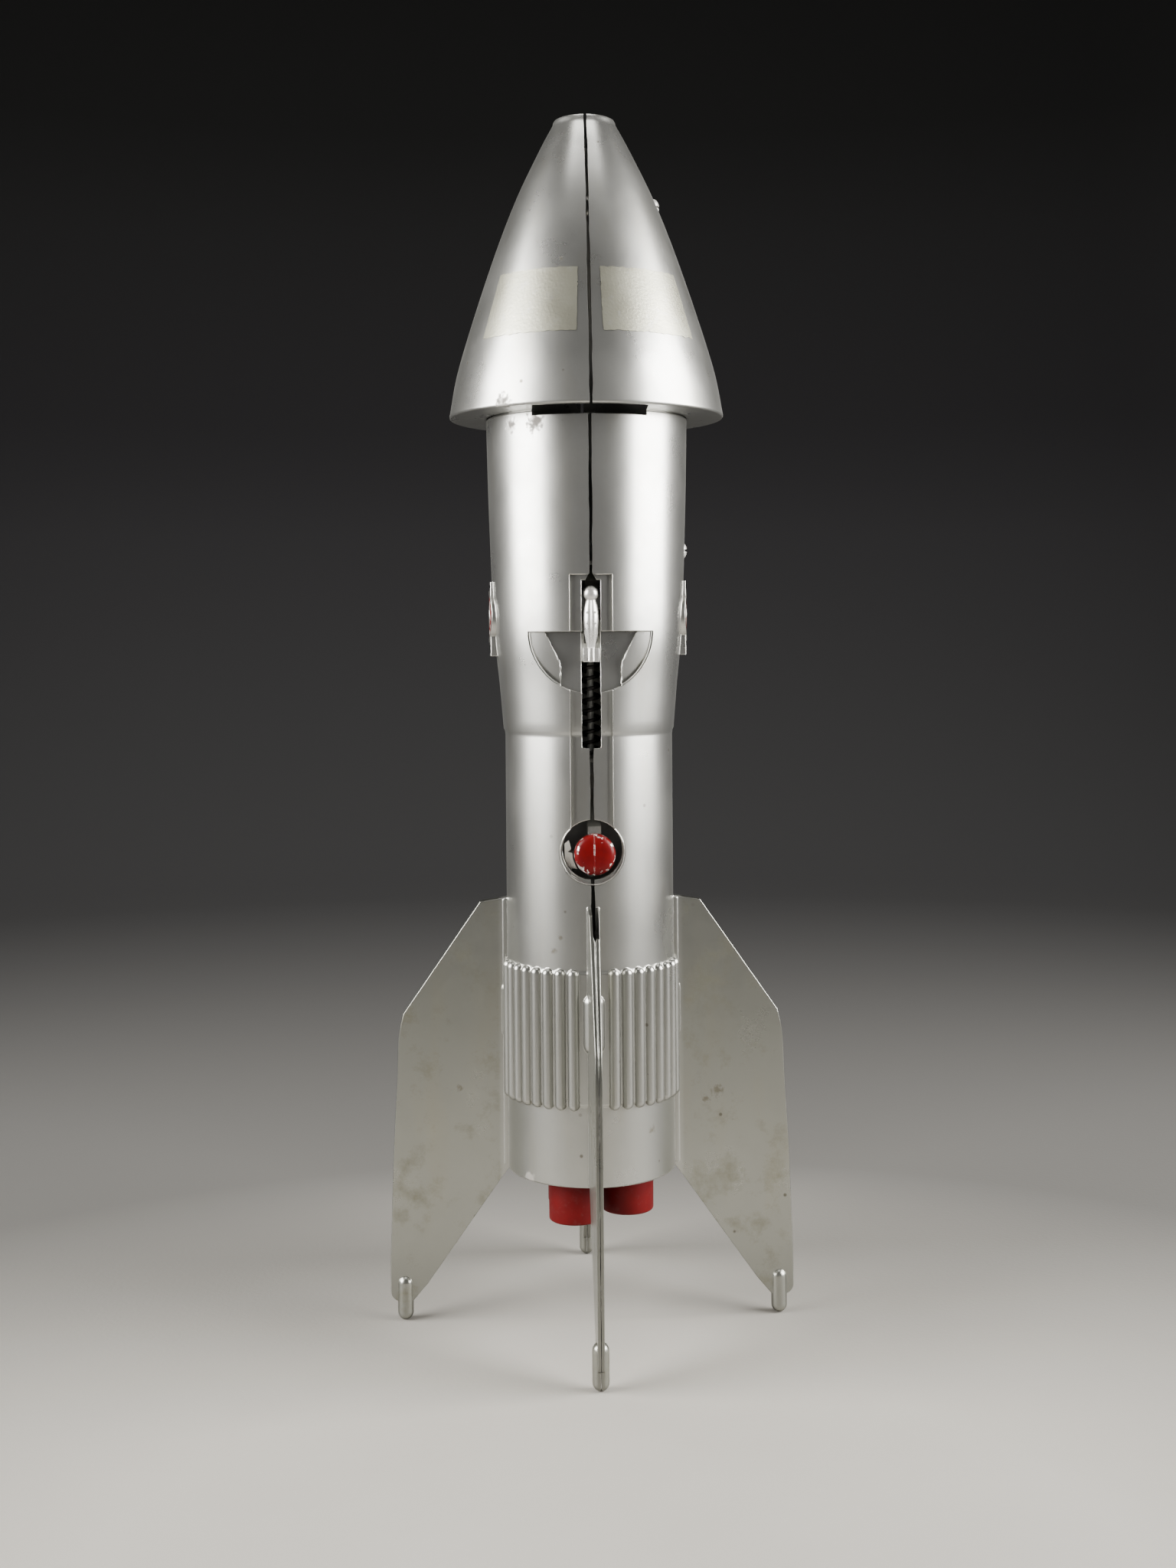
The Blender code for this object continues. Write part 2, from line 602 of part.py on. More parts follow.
def make_leaf_spring():
    """A bent strip that stands behind the lever's foot and pushes it forward."""
    path = smooth_curve([(-8.45, 89.5), (-8.45, 98.0), (-9.1, 103.0), (-9.9, 107.0), (-9.3, 110.0)], 3)
    loop = path + [(y + 0.45, z) for y, z in reversed(path)]
    leaf = flat_outline("trigger_leaf_spring", [loop], -6.4, 0.6, ALONG_X, tool=False)
    hole = rod("leaf_screw_hole", 1.3, (-3.9, -12, 93.2), (-3.9, -5, 93.2), segments=12)
    shape(leaf, "DIFFERENCE", [hole])
    finish_part(leaf, "steel")


# ---------------------------------------------------------------- screws and guard

def screw(name, base, direction, head_r, head_h, length):
    """A round-headed screw: base is the centre of the head's underside."""
    dome = [(0, head_h), (head_r * 0.55, head_h * 0.86), (head_r * 0.9, head_h * 0.45), (head_r, 0)]
    shank_r = head_r * 0.55
    outline = dome + [(shank_r, 0), (shank_r, -length + 0.6), (shank_r - 0.5, -length), (0, -length)]
    turn = Vector((0, 0, 1)).rotation_difference(Vector(direction)).to_matrix().to_4x4()
    place = Matrix.Translation(Vector(base) * MM) @ turn
    item = turned(name, outline, place, steps=16)
    finish_part(item, "steel")


def make_screws():
    screw("nose_screw", (15.9, 0, 259.7), (1, 0, 0), 2.15, 1.6, 21.5)
    screw("upper_body_screw", (22.0, 0, 179.2), (1, 0, 0), 2.05, 1.4, 28.5)
    screw("lower_body_screw", (12.3, 11.5, 45.0), (1, 0, 0), 2.15, 1.6, 18.0)
    screw("leaf_spring_screw", (-3.9, -8.75, 93.2), (0, -1, 0), 1.8, 1.1, 4.2)
    screw("guard_screw_upper", (-12.5, -0.8, 153.5), (0, 1, 0), 1.8, 1.1, 5.2)
    screw("guard_screw_lower", (-12.5, -0.8, 111.5), (0, 1, 0), 1.8, 1.1, 5.2)


def make_guard():
    """A bent plate that keeps the coins away from the launcher."""
    guard = box("coin_guard", (-15.0, -1.9, 100.0), (15.0, -1.1, 176.1), tool=False)
    lid = arc((0, 0), 19.2, 183.4, 356.6, 16)
    lid = flat_outline("guard_lid", [lid], 175.3, 176.08, ALONG_Z)
    holes = [rod(f"guard_clearance_{z}", 1.3, (-12.5, -4, z + 0.5), (-12.5, 2, z + 0.5), segments=12)
             for z in (153, 111)]
    shape(guard, "UNION", [lid])
    shape(guard, "DIFFERENCE", holes)
    finish_part(guard, "steel")


# ---------------------------------------------------------------- trap

def nozzle_places():
    return {"nozzle_right": 0.0, "nozzle_back_left": 120.0, "nozzle_front_left": 240.0}


def nozzle_centre(angle_deg):
    angle = math.radians(angle_deg)
    return NOZZLE_CENTRE_R * math.cos(angle), NOZZLE_CENTRE_R * math.sin(angle)


def make_nozzles():
    """Three open cups, each with a stem through the trap plate."""
    top = TRAP_Z[0] - GAP
    outline = [(0, TRAP_Z[1] + 0.6), (1.9, TRAP_Z[1] + 0.6), (1.9, top), (NOZZLE_R - 0.3, top),
               (NOZZLE_R, top - 0.4), (NOZZLE_R, NOZZLE_BOTTOM_Z + 0.2),
               (NOZZLE_R - 0.2, NOZZLE_BOTTOM_Z), (NOZZLE_R - NOZZLE_WALL, NOZZLE_BOTTOM_Z),
               (NOZZLE_R - NOZZLE_WALL, top - 2.2), (0, top - 1.9)]
    nozzles = []
    for name, angle in nozzle_places().items():
        x, y = nozzle_centre(angle)
        nozzle = turned(name, outline, Matrix.Translation((x * MM, y * MM, 0)), steps=28)
        finish_part(nozzle, "red_plastic")
        nozzles.append(nozzle)
    return nozzles


def make_trap_plate():
    plate = rod("trap_plate", TRAP_R, (0, 0, TRAP_Z[0]), (0, 0, TRAP_Z[1]), segments=40, tool=False)
    for name, angle in nozzle_places().items():
        x, y = nozzle_centre(angle)
        shape(plate, "DIFFERENCE", [rod(f"{name}_eye", 1.9 + GAP, (x, y, 30), (x, y, 45), segments=16)])
    finish_part(plate, "steel")
    return plate


def make_trap_ring():
    """A rubber ring round the plate that grips the casting."""
    inner, outer = TRAP_R + GAP, LOWER_R - WALL - GAP
    ring = turned("trap_grip_ring", [(outer, 38.2), (outer, 36.8), (inner, 36.8), (inner, 38.2)], steps=40)
    finish_part(ring, "rubber")
    return ring


# ---------------------------------------------------------------- joints

def carry(name, point, items):
    """Parent moving pieces to an empty on their joint's axis."""
    axis = bpy.data.objects.new(name, None)
    axis.location = Vector(point) * MM
    parts.objects.link(axis)
    bpy.context.view_layer.update()
    for item in items:
        item.parent = axis
        item.matrix_parent_inverse = axis.matrix_world.inverted()


def main():
    clear_scene()
    make_materials()
    make_castings()
    make_guide_rod()
    make_washers()
    make_launch_spring()
    make_pivot_pin()
    make_leaf_spring()
    make_screws()
    make_guard()
    carry("launcher_axis", (0, ROD_Y, CARRIAGE_Z[0]), [make_missile(), make_carriage(), make_carriage_pin()])
    carry("trigger_axis", (0, PIVOT_Y, PIVOT_Z), [make_lever(), make_button()])
    carry("trap_axis", (0, 0, TRAP_Z[0]), [make_trap_plate(), make_trap_ring()] + make_nozzles())


main()
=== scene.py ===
"""Looks of the die-cast space rocket coin bank: finer castings, small pieces, paint and wear.

The frame is the CAD's: metres, +Z up, origin on the floor under the rocket's axis, front at -Y.
Sizes in this script are in millimetres, and MM turns them into metres.
"""
import json
import math

import bmesh
import bpy
from mathutils import Matrix, Vector, noise


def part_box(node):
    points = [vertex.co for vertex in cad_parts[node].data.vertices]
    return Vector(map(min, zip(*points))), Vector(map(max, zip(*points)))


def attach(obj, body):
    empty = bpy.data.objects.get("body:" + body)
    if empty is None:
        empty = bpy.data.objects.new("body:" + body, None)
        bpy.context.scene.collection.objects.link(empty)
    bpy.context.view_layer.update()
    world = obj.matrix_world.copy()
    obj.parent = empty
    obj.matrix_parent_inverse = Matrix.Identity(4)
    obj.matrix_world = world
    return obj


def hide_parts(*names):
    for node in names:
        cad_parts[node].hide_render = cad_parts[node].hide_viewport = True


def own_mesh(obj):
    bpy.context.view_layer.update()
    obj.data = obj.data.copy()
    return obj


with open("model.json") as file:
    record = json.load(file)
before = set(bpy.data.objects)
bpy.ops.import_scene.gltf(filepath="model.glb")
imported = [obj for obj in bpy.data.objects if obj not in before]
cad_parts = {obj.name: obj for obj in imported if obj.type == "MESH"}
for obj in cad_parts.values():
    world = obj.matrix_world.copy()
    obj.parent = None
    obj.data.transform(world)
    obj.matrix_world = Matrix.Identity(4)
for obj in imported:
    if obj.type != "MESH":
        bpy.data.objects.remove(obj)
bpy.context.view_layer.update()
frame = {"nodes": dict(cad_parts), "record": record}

MM = 0.001
GAP = 0.3

# Castings, as in the CAD
HEIGHT = 280.0
WALL = 2.0
NOSE_WALL = 2.2
NOSE_BASE_Z = 210.0
NECK_R = 23.0
NECK_FLANGE_R = 24.9
NECK_TOP_Z = 214.3
BODY_BOTTOM_Z = 35.4
STEP_Z = 137.0
LOWER_R = 19.5
NOSE_CURVE = [(7.4, 278.8), (10.6, 272.8), (16.6, 260.2), (22.7, 244.0), (29.6, 222.4), (32.0, 210.7)]
BODY_CURVE = [(23.45, 208.0), (23.1, 191.8), (22.5, 173.0), (21.95, 160.0), (20.8, 148.7), (19.9, 137.9)]
TURN_STEPS = 160
BLOCK = 60.0                 # reach of the big cutting blocks
ON_SKIN = 0.998              # cosine above which a face counts as part of a turned skin

# Seam between the two half castings
SEAM_HALF = 0.36
SEAM_HALF_LOW = 0.44
SEAM_HALF_FINS = 0.07
SEAM_WAVE = 0.15
SEAM_STEP = 1.3

# Ribbed band
BAND_Z = (52.7, 84.5)
PAD_R = 19.9
RIB_R = 1.36
RIB_CENTRE_R = 19.6
RIB_PITCH_DEG = 9.0
RIB_FIRST_DEG = 13.5
RIBS_PER_QUARTER = 8

# Fins and feet
FIN_ROOT_R = 18.6
FIN_TIP_R = 47.2
FIN_HALF_ROOT = 1.3
FIN_HALF_TIP = 0.75
STRIP_HALF = 1.45
STRIP_R = 20.7
STRIP_Z = (35.9, 99.3)
ROOT_BOSS_R = 2.75
ROOT_BOSS_CENTRE_R = 18.5
ROOT_BOSS_Z = (64.8, 79.6)
FOOT_R = 1.85
FOOT_CENTRE_R = 43.8
FOOT_TOP_Z = 10.3
NOTCH_Z = (92.8, 98.4)

# Front of the body
CHANNEL_HALF = 4.8
CHANNEL_DEPTH = 1.0
CHANNEL_TOP_Z = 173.0
SLOT_HALF = 2.15
SLOT_Z = (134.0, 171.7)
MOON_R = 14.1
MOON_TOP_Z = 160.3
MOON_LIP = 0.5
MOON_DEPTH = 1.85
MOON_FLATTER = 7.5
POCKET_Y = -17.8
POCKET_TOP_HALF = 10.4
POCKET_LOW_HALF = 6.9
BACKING_Y = -16.9
HOLE_R = 6.95
HOLE_RIM_R = 7.4
HOLE_Z = 110.7
MOUTH_HALF = 12.8
MOUTH_R = 30.2
MOUTH_Z = (208.7, 213.5)

# Side badges
BADGE_Z = 164.0
BADGE_R = 6.0
BADGE_X = 23.15
BADGE_FLOOR_X = 22.85
BADGE_BAR_Z = (154.8, 172.0)
BADGE_BAR_HALF = 3.9

# Inside
ROD_Y = -12.8
PIVOT = (-6.0, 172.0)
LEVER_X = (-1.0, 2.1)
NOSE_POST = (0, 259.7)
UPPER_POST = (0, 179.2)
LOWER_POST = (11.5, 45.0)
SCREW_HOLE_R = 1.6
SCREW_SEAT_R = 2.45

# Sticker
STICKER_Z = (226.4, 241.3)
STICKER_DEG = (6.0, 56.0)

# Paint
FINS_REACH = (0.0209, 0.0218)        # metres from the axis, where the fins' look begins
FINS_TOP = (0.1, 0.099)
ABOVE_FINS = (0.0925, 0.0935)
GAP_REACH = (0.0008, 0.0007)         # metres from the seam's plane: the side walls, painted black as shade, and the edges that aren't rounded
SEAM_REACH = (0.0014, 0.0010)        # and the edges that aren't rounded
SPOT_FADE = 0.8                      # share of a spot's radius over which it fades

# A local XY outline laid on world axes, thickened along the local Z
ALONG_X = Matrix(((0, 0, 1, 0), (1, 0, 0, 0), (0, 1, 0, 0), (0, 0, 0, 1)))
ALONG_Y = Matrix(((1, 0, 0, 0), (0, 0, -1, 0), (0, 1, 0, 0), (0, 0, 0, 1)))
ALONG_Z = Matrix.Identity(4)


# ---------------------------------------------------------------- mesh helpers

def add_object(name, work, place=None):
    """Link a finished bmesh as an object, with its faces pointing out."""
    bmesh.ops.recalc_face_normals(work, faces=work.faces)
    if place is not None:
        bmesh.ops.transform(work, matrix=place, verts=work.verts)
    mesh = bpy.data.meshes.new(name)
    work.to_mesh(mesh)
    work.free()
    item = bpy.data.objects.new(name, mesh)
    bpy.context.scene.collection.objects.link(item)
    return item


def shift(x, y, z):
    return Matrix.Translation(Vector((x, y, z)) * MM)


def turned(name, outline, place=None, steps=TURN_STEPS):
    """Revolve an (r, z) outline about Z. It starts and ends on the axis, or is a closed loop."""
    work = bmesh.new()
    verts = [work.verts.new((radius * MM, 0, height * MM)) for radius, height in outline]
    for first, second in zip(verts, verts[1:]):
        work.edges.new((first, second))
    if min(radius for radius, _ in outline) > 0:
        work.edges.new((verts[-1], verts[0]))
    bmesh.ops.spin(work, geom=work.verts[:] + work.edges[:], axis=(0, 0, 1), cent=(0, 0, 0),
                   angle=2 * math.pi, steps=steps, use_merge=True)
    bmesh.ops.remove_doubles(work, verts=work.verts, dist=0.0000005)
    return add_object(name, work, place)


def prism(name, loop, low, high, plane):
    """A flat outline thickened from low to high along the plane's normal."""
    work = bmesh.new()
    face = work.faces.new([work.verts.new((across * MM, up * MM, low * MM)) for across, up in loop])
    grown = bmesh.ops.extrude_face_region(work, geom=[face])["geom"]
    raised = [part for part in grown if isinstance(part, bmesh.types.BMVert)]
    bmesh.ops.translate(work, vec=(0, 0, (high - low) * MM), verts=raised)
    return add_object(name, work, plane)


def block(name, low, high):
    work = bmesh.new()
    bmesh.ops.create_cube(work, size=1.0)
    size = Vector(high) - Vector(low)
    bmesh.ops.scale(work, vec=size * MM, verts=work.verts)
    return add_object(name, work, Matrix.Translation((Vector(high) + Vector(low)) / 2 * MM))


def rod(name, radius, start, end, segments=32):
    """A cylinder between two points."""
    start = Vector(start) * MM
    end = Vector(end) * MM
    turn = Vector((0, 0, 1)).rotation_difference(end - start).to_matrix().to_4x4()
    work = bmesh.new()
    bmesh.ops.create_cone(work, cap_ends=True, segments=segments, radius1=radius * MM,
                          radius2=radius * MM, depth=(end - start).length)
    return add_object(name, work, Matrix.Translation((start + end) / 2) @ turn)


def rod_x(name, radius, low, high, centre, segments=32):
    """A cylinder along X at a (y, z) place."""
    return rod(name, radius, (low, *centre), (high, *centre), segments)


def capsule(name, radius, low, high, place, segments):
    """A vertical rod with domed ends, from height low to height high."""
    outline = arc((0, high - radius), radius, 90, 0, 6) + arc((0, low + radius), radius, 0, -90, 6)
    outline[0] = (0, high)
    outline[-1] = (0, low)
    return turned(name, outline, place, segments)


def tube(name, points, radius, swell=0.0, sides=8):
    """A round wire through points, whose thickness may wander a little along its length."""
    points = [Vector(point) * MM for point in points]
    work = bmesh.new()
    rings = []
    normal = None
    for behind, point, ahead in zip(points[:1] + points, points, points[1:] + points[-1:]):
        along = (ahead - behind).normalized()
        if normal is None:
            normal = along.orthogonal().normalized()
        normal = (normal - along * normal.dot(along)).normalized()
        side = along.cross(normal)
        here = radius * MM * (1 + swell * noise.noise(point / MM * 0.9))
        rings.append([work.verts.new(point + here * (normal * math.cos(a) + side * math.sin(a)))
                      for a in (2 * math.pi * part / sides for part in range(sides))])
    for first, second in zip(rings, rings[1:]):
        for part in range(sides):
            after = (part + 1) % sides
            work.faces.new((first[part], first[after], second[after], second[part]))
    work.faces.new(rings[0])
    work.faces.new(rings[-1])
    return add_object(name, work)


def bake(item):
    """Make the modifiers' result the object's own mesh."""
    bpy.context.view_layer.update()
    solid = item.evaluated_get(bpy.context.evaluated_depsgraph_get())
    mesh = bpy.data.meshes.new_from_object(solid)
    item.modifiers.clear()
    item.data = mesh


def shape(item, operation, tools):
    """Join, cut or keep the common part with all the tools, which are used up."""
    group = bpy.data.collections.new(f"{item.name}_{operation}")
    bpy.context.scene.collection.children.link(group)
    for tool in tools:
        group.objects.link(tool)
    step = item.modifiers.new("shape", "BOOLEAN")
    step.operation = operation
    step.operand_type = "COLLECTION"
    step.collection = group
    step.solver = "EXACT"
    bake(item)
    for tool in tools:
        bpy.data.objects.remove(tool, do_unlink=True)
    bpy.data.collections.remove(group)


def join(name, items):
    """One object made of several that don't cross each other."""
    work = bmesh.new()
    for item in items:
        work.from_mesh(item.data)
        bpy.data.objects.remove(item, do_unlink=True)
    return add_object(name, work)


def round_edges(item, width, segments=2, angle=30):
    bevel = item.modifiers.new("round", "BEVEL")
    bevel.width = width * MM
    bevel.segments = segments
    bevel.limit_method = "ANGLE"
    bevel.angle_limit = math.radians(angle)
    bake(item)


def smooth(item, angle=32):
    item.data.shade_smooth()
    item.data.set_sharp_from_angle(angle=math.radians(angle))


def even_normals(item):
    """Steady shading after the cuts: flat faces stay flat and turned skins get a true radial normal."""
    weighted = item.modifiers.new("weighted", "WEIGHTED_NORMAL")
    weighted.keep_sharp = True
    bake(item)
    mesh = item.data
    normals = [Vector(corner.vector) for corner in mesh.corner_normals]
    for face in mesh.polygons:
        for number in face.loop_indices:
            here = mesh.vertices[mesh.loops[number].vertex_index].co
            up = normals[number].z
            level = Vector((here.x, here.y, 0)).normalized() * math.sqrt(max(0.0, 1 - up * up))
            true = Vector((level.x, level.y, up))
            if true.dot(face.normal) > ON_SKIN:
                normals[number] = true
    mesh.normals_split_custom_set(normals)


def piece(item, body, material, nodes=()):
    """Finish a visible piece: its material, its body and the nodes it stands for."""
    item.data.materials.clear()
    item.data.materials.append(material)
    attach(item, body)
    if nodes:
        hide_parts(*nodes)


# ---------------------------------------------------------------- outlines

def smooth_curve(points, steps):
    """A smooth line through the given points, with some points between each two."""
    first = tuple(2 * a - b for a, b in zip(points[0], points[1]))
    last = tuple(2 * a - b for a, b in zip(points[-1], points[-2]))
    chain = [first] + list(points) + [last]
    result = []
    for p0, p1, p2, p3 in zip(chain, chain[1:], chain[2:], chain[3:]):
        for step in range(steps):
            t = step / steps
            result.append(tuple(
                0.5 * (2 * b + (c - a) * t + (2 * a - 5 * b + 4 * c - d) * t ** 2
                       + (3 * b - a - 3 * c + d) * t ** 3)
                for a, b, c, d in zip(p0, p1, p2, p3)))
    result.append(tuple(points[-1]))
    return result


def arc(centre, radius, start_deg, end_deg, count):
    angles = [math.radians(start_deg + (end_deg - start_deg) * i / count) for i in range(count + 1)]
    return [(centre[0] + radius * math.cos(a), centre[1] + radius * math.sin(a)) for a in angles]


def inset(outline, inward):
    return [(radius - inward, height) for radius, height in outline]


def radius_at(curve, height):
    """The radius of a turned skin at a height, from its (r, z) points going down."""
    for (r1, z1), (r2, z2) in zip(curve, curve[1:]):
        if z2 <= height <= z1:
            return r1 + (r2 - r1) * (z1 - height) / (z1 - z2)
    return curve[0][0] if height > curve[0][1] else curve[-1][0]


NOSE_SKIN = smooth_curve(NOSE_CURVE, 7)
BODY_SKIN = smooth_curve(BODY_CURVE, 5) + [(19.62, 137.3), (LOWER_R, 136.4), (LOWER_R, BODY_BOTTOM_Z)]


def nose_profile():
    tip = [(0, HEIGHT), (4.0, HEIGHT), (6.7, HEIGHT - 0.04), (7.05, HEIGHT - 0.2), (7.28, HEIGHT - 0.6)]
    rim = [(31.98, 210.35), (31.8, 210.08), (31.5, NOSE_BASE_Z)]
    plate_top = NOSE_BASE_Z + NOSE_WALL
    plate = [(NECK_R + GAP, NOSE_BASE_Z), (NECK_R + GAP, plate_top), (29.2, plate_top)]
    inner = inset(NOSE_SKIN[-8:6:-4], NOSE_WALL) + [(5.8, 275.4), (0, 276.2)]
    return tip + NOSE_SKIN + rim + plate + inner


def body_profile():
    skin = smooth_curve(BODY_CURVE, 5)
    bore = LOWER_R - WALL
    throat = skin[0][0] - WALL
    shoulder = NOSE_BASE_Z - GAP
    flange_low = NOSE_BASE_Z + NOSE_WALL + GAP
    neck = [(throat, NECK_TOP_Z), (NECK_FLANGE_R, NECK_TOP_Z), (NECK_FLANGE_R, flange_low),
            (NECK_R, flange_low), (NECK_R, shoulder), (23.42, shoulder), (23.5, shoulder - 0.3)]
    pad = [(LOWER_R, 84.2), (PAD_R - 0.1, 83.7), (PAD_R, 83.3), (PAD_R, 54.3), (PAD_R - 0.12, 53.9),
           (LOWER_R, 53.5)]
    low = [(LOWER_R, BODY_BOTTOM_Z + 0.35), (LOWER_R - 0.3, BODY_BOTTOM_Z)]
    ledge = [(bore, BODY_BOTTOM_Z), (bore, 39.2), (bore - 1.5, 39.4), (bore - 1.5, 40.8), (bore, 42.4)]
    return neck + skin + BODY_SKIN[-3:-1] + pad + low + ledge + [(bore, STEP_Z - 1)] + inset(skin[::-2], WALL)


def core(name, inward, low=130.0, high=200.0):
    """A solid core that follows the body's skin at a depth, for cutting recesses of even depth."""
    skin = [point for point in inset(BODY_SKIN, inward) if low < point[1] < high]
    ends = radius_at(BODY_SKIN, high) - inward, radius_at(BODY_SKIN, low) - inward
    return turned(name, [(0, high), (ends[0], high)] + skin + [(ends[1], low), (0, low)])


# ---------------------------------------------------------------- castings

def ribs():
    """The upright half-round ribs between the fins, with domed ends."""
    rods = []
    for quarter in range(4):
        for number in range(RIBS_PER_QUARTER):
            turn = math.radians(90 * quarter + RIB_FIRST_DEG + RIB_PITCH_DEG * number)
            x, y = RIB_CENTRE_R * math.cos(turn), RIB_CENTRE_R * math.sin(turn)
            rods.append(capsule(f"rib_{quarter}_{number}", RIB_R, *BAND_Z, shift(x, y, 0), 24))
    return join("ribs", rods)


def fin_outline():
    top = [(FIN_ROOT_R, 98.6), (25.8, 97.5)] + smooth_curve([(43.9, 71.4), (45.0, 66.0), (45.35, 57.0)], 4)
    side = [(46.35, 39.0), (47.2, 13.8)] + arc((44.9, 6.6), 2.3, 0, -90, 8)
    under = [(42.0, 4.4), (38.5, 8.5), (20.0, 34.6), (FIN_ROOT_R, 36.0)]
    return top + side + under


def fin(number, turn):
    """One fin plate, thinned towards its outer edge, with softened edges."""
    plate = prism(f"fin_{number}", fin_outline(), -FIN_HALF_ROOT, FIN_HALF_ROOT, ALONG_Y)
    for vertex in plate.data.vertices:
        along = (vertex.co.x / MM - FIN_ROOT_R) / (FIN_TIP_R - FIN_ROOT_R)
        vertex.co.y *= 1 + along * (FIN_HALF_TIP / FIN_HALF_ROOT - 1)
    round_edges(plate, 0.28)
    plate.data.transform(turn)
    return plate


def root_strip(number, turn):
    """The bead that runs up the root of a fin, with a rounded top."""
    middle = (FIN_ROOT_R + STRIP_R) / 2
    strip = block(f"strip_{number}", (FIN_ROOT_R - 1, -STRIP_HALF, STRIP_Z[0]),
                  (STRIP_R, STRIP_HALF, STRIP_Z[1]))
    for vertex in strip.data.vertices:
        if vertex.co.z > STRIP_Z[0] * MM + 0.001 and vertex.co.x > middle * MM:
            vertex.co.z -= 1.2 * MM
    round_edges(strip, 0.5, 3)
    strip.data.transform(turn)
    return strip


def fin_tools():
    tools = []
    for number in range(4):
        turn = Matrix.Rotation(math.radians(90 * number), 4, "Z")
        tools += [fin(number, turn), root_strip(number, turn),
                  capsule(f"root_boss_{number}", ROOT_BOSS_R, *ROOT_BOSS_Z,
                          turn @ shift(ROOT_BOSS_CENTRE_R, 0, 0), 28),
                  capsule(f"foot_{number}", FOOT_R, 0, FOOT_TOP_Z, turn @ shift(FOOT_CENTRE_R, 0, 0), 28)]
    return tools


def half_disc(radius, top=MOON_TOP_Z):
    return arc((0, top), radius, 180, 360, 48)


def inner_tools():
    """Thickening behind the recess, the launcher's lugs, screw posts and pivot bosses."""
    backing = prism("backing", half_disc(15.3), -BACKING_Y, 26.0, ALONG_Y)
    shape(backing, "INTERSECT", [core("backing_core", 0.5)])
    lower = prism("lower_lug", [(-14, -9.3), (-14, -16.0), (14, -16.0), (14, -9.3)], 127.5, 130.3, ALONG_Z)
    shape(lower, "INTERSECT", [rod("lower_lug_core", LOWER_R - 0.6, (0, 0, 125), (0, 0, 133), 64)])
    upper = prism("upper_lug", [(-17, -9.5), (-17, -16.4), (17, -16.4), (17, -9.5)], 165.5, 168.5, ALONG_Z)
    shape(upper, "INTERSECT", [rod("upper_lug_core", 21.3, (0, 0, 163), (0, 0, 171), 64)])
    posts = [rod_x("upper_post", 2.6, -21.5, 21.5, UPPER_POST),
             rod_x("lower_post", 2.8, -13, 13, LOWER_POST),
             rod_x("pivot_boss_left", 3.0, -20, LEVER_X[0] - 0.4, PIVOT),
             rod_x("pivot_boss_right", 3.0, LEVER_X[1] + 0.4, 20, PIVOT)]
    return [backing, lower, upper] + posts


def side_name(side):
    return "right" if side > 0 else "left"


def wrap(item, radius, operation):
    """Keep only what is inside, or outside, an upright cylinder round the body's axis."""
    shape(item, operation, [rod(f"{item.name}_wrap", radius, (0, 0, 150), (0, 0, 176), TURN_STEPS)])


def badge_tools(side):
    """A raised roundel on an upright bar, wrapped round each side of the body."""
    name = side_name(side)
    disc = rod_x(f"badge_disc_{name}", BADGE_R, side * 20.8, side * 25, (0, BADGE_Z), 64)
    low, high = sorted((side * 20.8, side * 25))
    bar = block(f"badge_bar_{name}", (low, -BADGE_BAR_HALF, BADGE_BAR_Z[0]),
                (high, BADGE_BAR_HALF, BADGE_BAR_Z[1]))
    wrap(disc, BADGE_X, "INTERSECT")
    wrap(bar, BADGE_X - 0.15, "INTERSECT")
    return [disc, bar]


def badge_disc(name, side, radius):
    return rod_x(name, radius, side * 17, side * 27, (0, BADGE_Z), 64)


def badge_recess(side):
    """Sunk fields in the badge: a ring round a plain boss and one in each end of the bar."""
    name = side_name(side)
    ring = badge_disc(f"recess_ring_{name}", side, 5.2)
    shape(ring, "DIFFERENCE", [badge_disc(f"boss_{name}", side, 2.6)])
    low, high = sorted((side * 18, side * 26))
    lower = block(f"recess_low_{name}", (low, -3.2, 155.4), (high, 3.2, 157.4))
    upper = block(f"recess_high_{name}", (low, -3.2, 170.6), (high, 3.2, 171.4))
    for field in (ring, lower, upper):
        wrap(field, BADGE_FLOOR_X, "DIFFERENCE")
    return [ring, lower, upper]


def channel_cut():
    """The shallow upright channel from above the launcher down to the button hole."""
    shallow = core("channel_core", CHANNEL_DEPTH, low=HOLE_Z - 4)
    low_edge = HOLE_Z - 2
    outline = [(-CHANNEL_HALF, CHANNEL_TOP_Z), (-CHANNEL_HALF, low_edge), (CHANNEL_HALF, low_edge),
               (CHANNEL_HALF, CHANNEL_TOP_Z)]
    channel = prism("channel", outline, 10, 30, ALONG_Y)
    shape(channel, "DIFFERENCE", [shallow])
    return channel


def pocket_side():
    """The ragged right edge of the pocket, from the top down, as (x, z) points."""
    low_z = MOON_TOP_Z - math.sqrt(MOON_R ** 2 - POCKET_LOW_HALF ** 2)
    points = []
    for part in range(25):
        share = part / 24
        x = POCKET_TOP_HALF + (POCKET_LOW_HALF - POCKET_TOP_HALF) * min(1, share / 0.6)
        z = MOON_TOP_Z + (low_z - MOON_TOP_Z) * share
        rough = 0.30 * noise.noise(Vector((x * 3, z * 1.9, 0)))
        points.append((x + (rough if 0 < part < 24 else 0), z))
    return points


def moon_core():
    """A core for the half-moon's floor, turned to a larger radius than the body."""
    skin = [point for point in inset(BODY_SKIN, -MOON_FLATTER) if 130 < point[1] < 200]
    outline = [(0, 200), (skin[0][0], 200)] + skin + [(skin[-1][0], 130), (0, 130)]
    return turned("moon_core", outline, shift(0, MOON_FLATTER + MOON_DEPTH, 0))


def moon_floor(x, z):
    """How far forward the half-moon's floor is."""
    return MOON_FLATTER + MOON_DEPTH - math.sqrt((radius_at(BODY_SKIN, z) + MOON_FLATTER) ** 2 - x * x)


